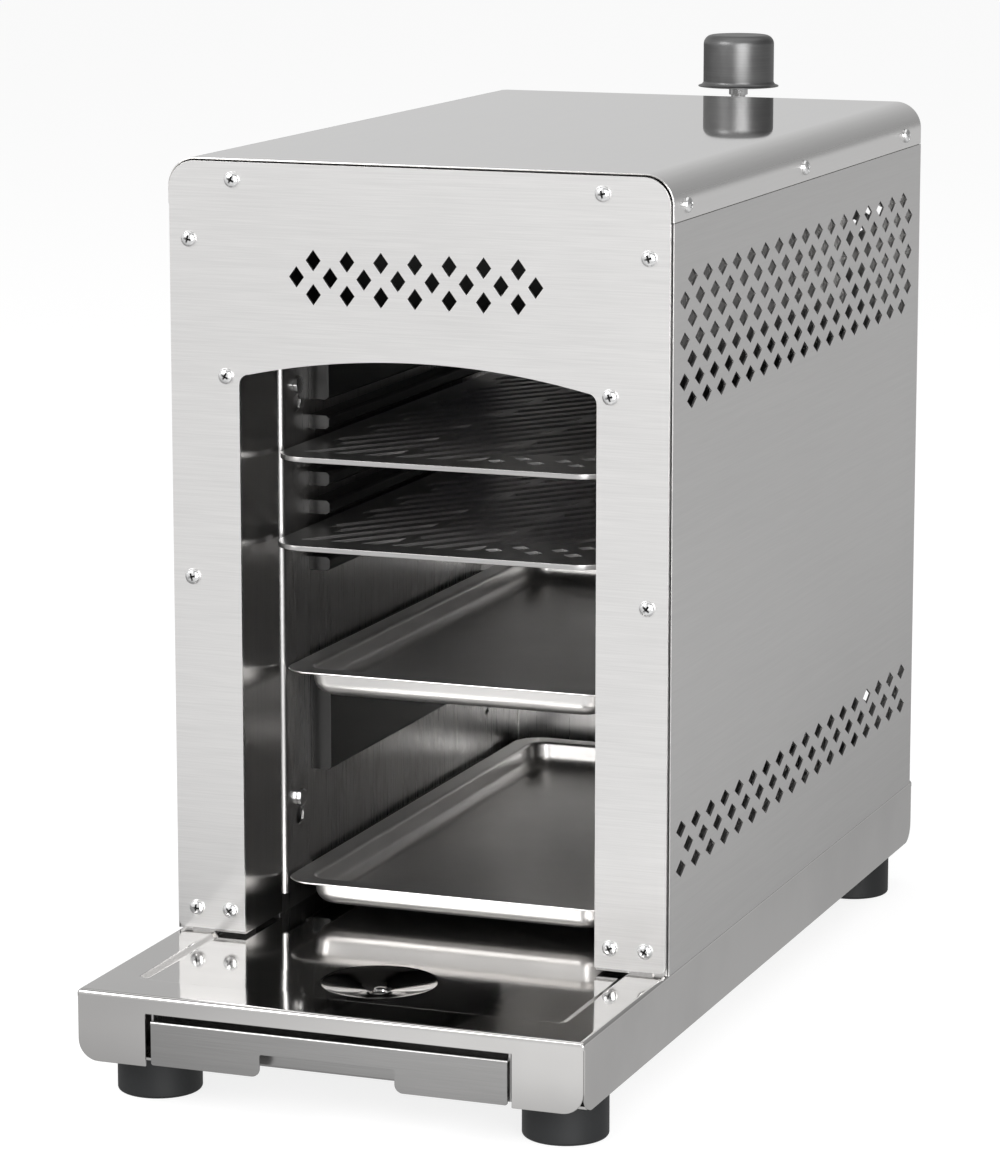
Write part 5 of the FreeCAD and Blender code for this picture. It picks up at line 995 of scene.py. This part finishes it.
on_points = screw_set.signal("GeometryNodeInstanceOnPoints", {}, {
    "Points": screw_set.size("Geometry"), "Instance": part, "Rotation": rotation})
screw_set.deliver(on_points)


def screw_group(name, places, node, seed):
    """Screws at (point, aim) places, as one piece."""
    group = object_from(name, [point for point, way in places], [])
    attribute = group.data.attributes.new("aim", "FLOAT_VECTOR", "POINT")
    attribute.data.foreach_set("vector", [value for point, way in places for value in way])
    screw_set.put_on(group, Screw=screw, Largest_Turn=math.pi / 2, Seed=seed, Finish=STEEL["screw"])
    freeze(group)
    dress(group, STEEL["screw"], replaces=(node,))


# %% Screws of the face plate, the cover and the bracket
front, top_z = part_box("face_plate")[0].y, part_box("face_plate")[1].z
PLATE_SCREWS = [(92, 9.7), (114.4, 38.3), (96, 102.7), (114.4, 200), (114.4, 363), (97, 363)]
places = [((x * sign * MM, front, top_z - drop * MM), (0, -1, 0))
          for x, drop in PLATE_SCREWS for sign in (-1, 1)]
screw_group("plate_screws_set", places, "face_plate_screws", 4)
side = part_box("top_cover")[1].x
COVER_SCREW_DROP, COVER_SCREWS = 15.3 * MM, (20.5, 204.7, 388.9)
places = [((side * sign, front + y * MM, top_z - COVER_SCREW_DROP), (sign, 0, 0))
          for y in COVER_SCREWS for sign in (-1, 1)]
screw_group("cover_screws_set", places, "cover_screws", 7)
low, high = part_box("bracket_screws")
inset = SCREW_RADIUS
face_y = high.y - SCREW_HEIGHT
places = [((x, face_y, z), (0, 1, 0))
          for x in (low.x + inset, high.x - inset) for z in (low.z + inset, high.z - inset)]
screw_group("bracket_screws_set", places, "bracket_screws", 2)
bpy.data.objects.remove(screw)

# %% [markdown]
# ## Knob
# A drawn cup with a rolled top edge and a thin flared lip, on a small black hub. The cup is round all
# over, so a lathe makes it. Its marks run round it, which draws each light into an upright streak.

# %% Knob cup
low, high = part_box("knob_cup")
middle = (low + high) / 2
lip, cap, wall, roll = high.x, 19.65 * MM, 1 * MM, 5 * MM
flare = 3.2 * MM
outer = [(lip, low.z), (lip, low.z + 0.5 * MM)]
outer += arc(lip + 0.1 * MM, low.z + 0.5 * MM + flare, flare - 0.1 * MM, 262, 190, 6)
outer = [(max(r, cap), z) for r, z in outer]
outer += arc(cap - roll, high.z - roll, roll, 0, 90, 10) + [(0, high.z)]
inner = [(0, high.z - wall)] + arc(cap - roll, high.z - roll, roll - wall, 90, 0, 8)
inner += [(cap - wall, low.z + 3.4 * MM), (cap - wall + 0.5 * MM, low.z + 1.2 * MM), (lip - 1.4 * MM, low.z)]
cup = lathe("knob_drawn_cup", outer + inner, middle, 96)
dress(cup, STEEL["knob"], "knob", ("knob_cup",))
refined("knob_hub", "moulded", PLASTIC, 0.4, "knob")
refined("valve_stem", "turned", STEEL["stem"], 0.3, "knob")
refined("stem_collar", "turned", STEEL["stem"], 0.3, "press")

# %% [markdown]
# ## Chamber, racks and grates
# These pieces already have their right shape in the CAD model, which is where their sizes matter
# for the joints. Their triangles are merged, their edges get the small round of cut sheet, and their
# bends shade smooth.

# %% Chamber sheets
# The rack rails and the lintel below take the rail finish, whose near-black colour is painted shade.
for side in ("left", "right"):
    refined(f"jamb_{side}", "folded", STEEL["jamb"], 0.3)
    refined(f"liner_{side}", "folded", STEEL["wall"], 0.2)
    refined(f"rack_{side}", "folded", STEEL["wall"], 0.2)
    refined(f"rack_rails_{side}", "folded", STEEL["rail"], 0.3)
    refined(f"burner_rail_{side}", "folded", STEEL["burner"], 0.3)
    refined(f"top_rail_{side}", "folded", STEEL["wall"])
    refined(f"drawer_runner_{side}", "folded", STEEL["wall"], 0.2)
refined("chamber_back", "folded", STEEL["wall"], 0.2)
refined("lintel", "folded", STEEL["rail"], 0.2)
refined("heat_shield", "sheet", STEEL["wall"])
refined("rear_panel", "sheet", STEEL["side"])
refined("rack_studs", "turned", STEEL["screw"], 0.4)

# %% Grates
for level in ("upper", "lower"):
    refined(f"grate_{level}", "cut", STEEL["grate"], 0.35, f"grate_{level}")

# %% [markdown]
# ## Burner and gas fittings
# The burner hides above the grates, and the valve sits behind the rear panel. They keep their CAD
# shapes, with softened edges and finishes of their own: plain steel, brass, pressed ceramic.

# %% Burner and fittings
refined("burner_housing", "folded", STEEL["burner"], 0.3)
refined("burner_guard", "cut", STEEL["burner"], 0.3)
refined("mixing_tube", "rolled", STEEL["burner"])
refined("electrode_bracket", "cut", STEEL["burner"])
refined("ceramic_tile_front", "pressed", CERAMIC, 0.5)
refined("ceramic_tile_rear", "pressed", CERAMIC, 0.5)
refined("ignition_electrode", "body", CERAMIC, 0.3, sharp=50)
refined("valve_bracket", "folded", STEEL["side"], 0.4)
refined("valve_body", "cast", STEEL["brass"], 0.6)
refined("jet_nozzle", "turned", STEEL["brass"], 0.3)
refined("gas_inlet", "turned", STEEL["brass"], 0.3)
refined("valve_nut", "turned", STEEL["screw"], 0.4)
refined("foot_screws", "turned", STEEL["screw"], 0.4)
refined("lead_grommet", "moulded", PLASTIC, 0.4, sharp=50)

# %% Ignition lead, held at both ends
low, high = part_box("ignition_lead")
radius = 2 * MM
x0, z1 = low.x + radius, high.z - radius
line = bpy.data.curves.new("ignition_lead_line", "CURVE")
line.dimensions = "3D"
spline = line.splines.new("NURBS")
route = [(x0, low.y + radius, low.z), (x0, low.y + radius, z1), (x0, (low.y + high.y) / 2, z1),
         (x0, high.y - radius, z1), (high.x, high.y - radius, z1)]
spline.points.add(len(route) - 1)
for knot, spot in zip(spline.points, route):
    knot.co = (*spot, 1)
spline.order_u = 3
spline.use_endpoint_u = True
spline.resolution_u = 24
line.bevel_depth = radius
line.bevel_resolution = 5
line.use_fill_caps = True
curve = new_object("ignition_lead_line", line)
bpy.context.view_layer.update()
lead_mesh = bpy.data.meshes.new_from_object(curve.evaluated_get(bpy.context.evaluated_depsgraph_get()))
bpy.data.objects.remove(curve)
lead = new_object("ignition_lead_sleeved", lead_mesh)
dress(lead, SLEEVE, replaces=("ignition_lead",))

# %% [markdown]
# ## Last look
# Every CAD node is now stood for by a finished piece or carries a finish.

plain = [name for name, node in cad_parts.items() if not node.hide_render]
for name in plain:
    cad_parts[name].data.materials.clear()
    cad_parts[name].data.materials.append(STEEL["wall"])
print("CAD nodes still shown:", plain)
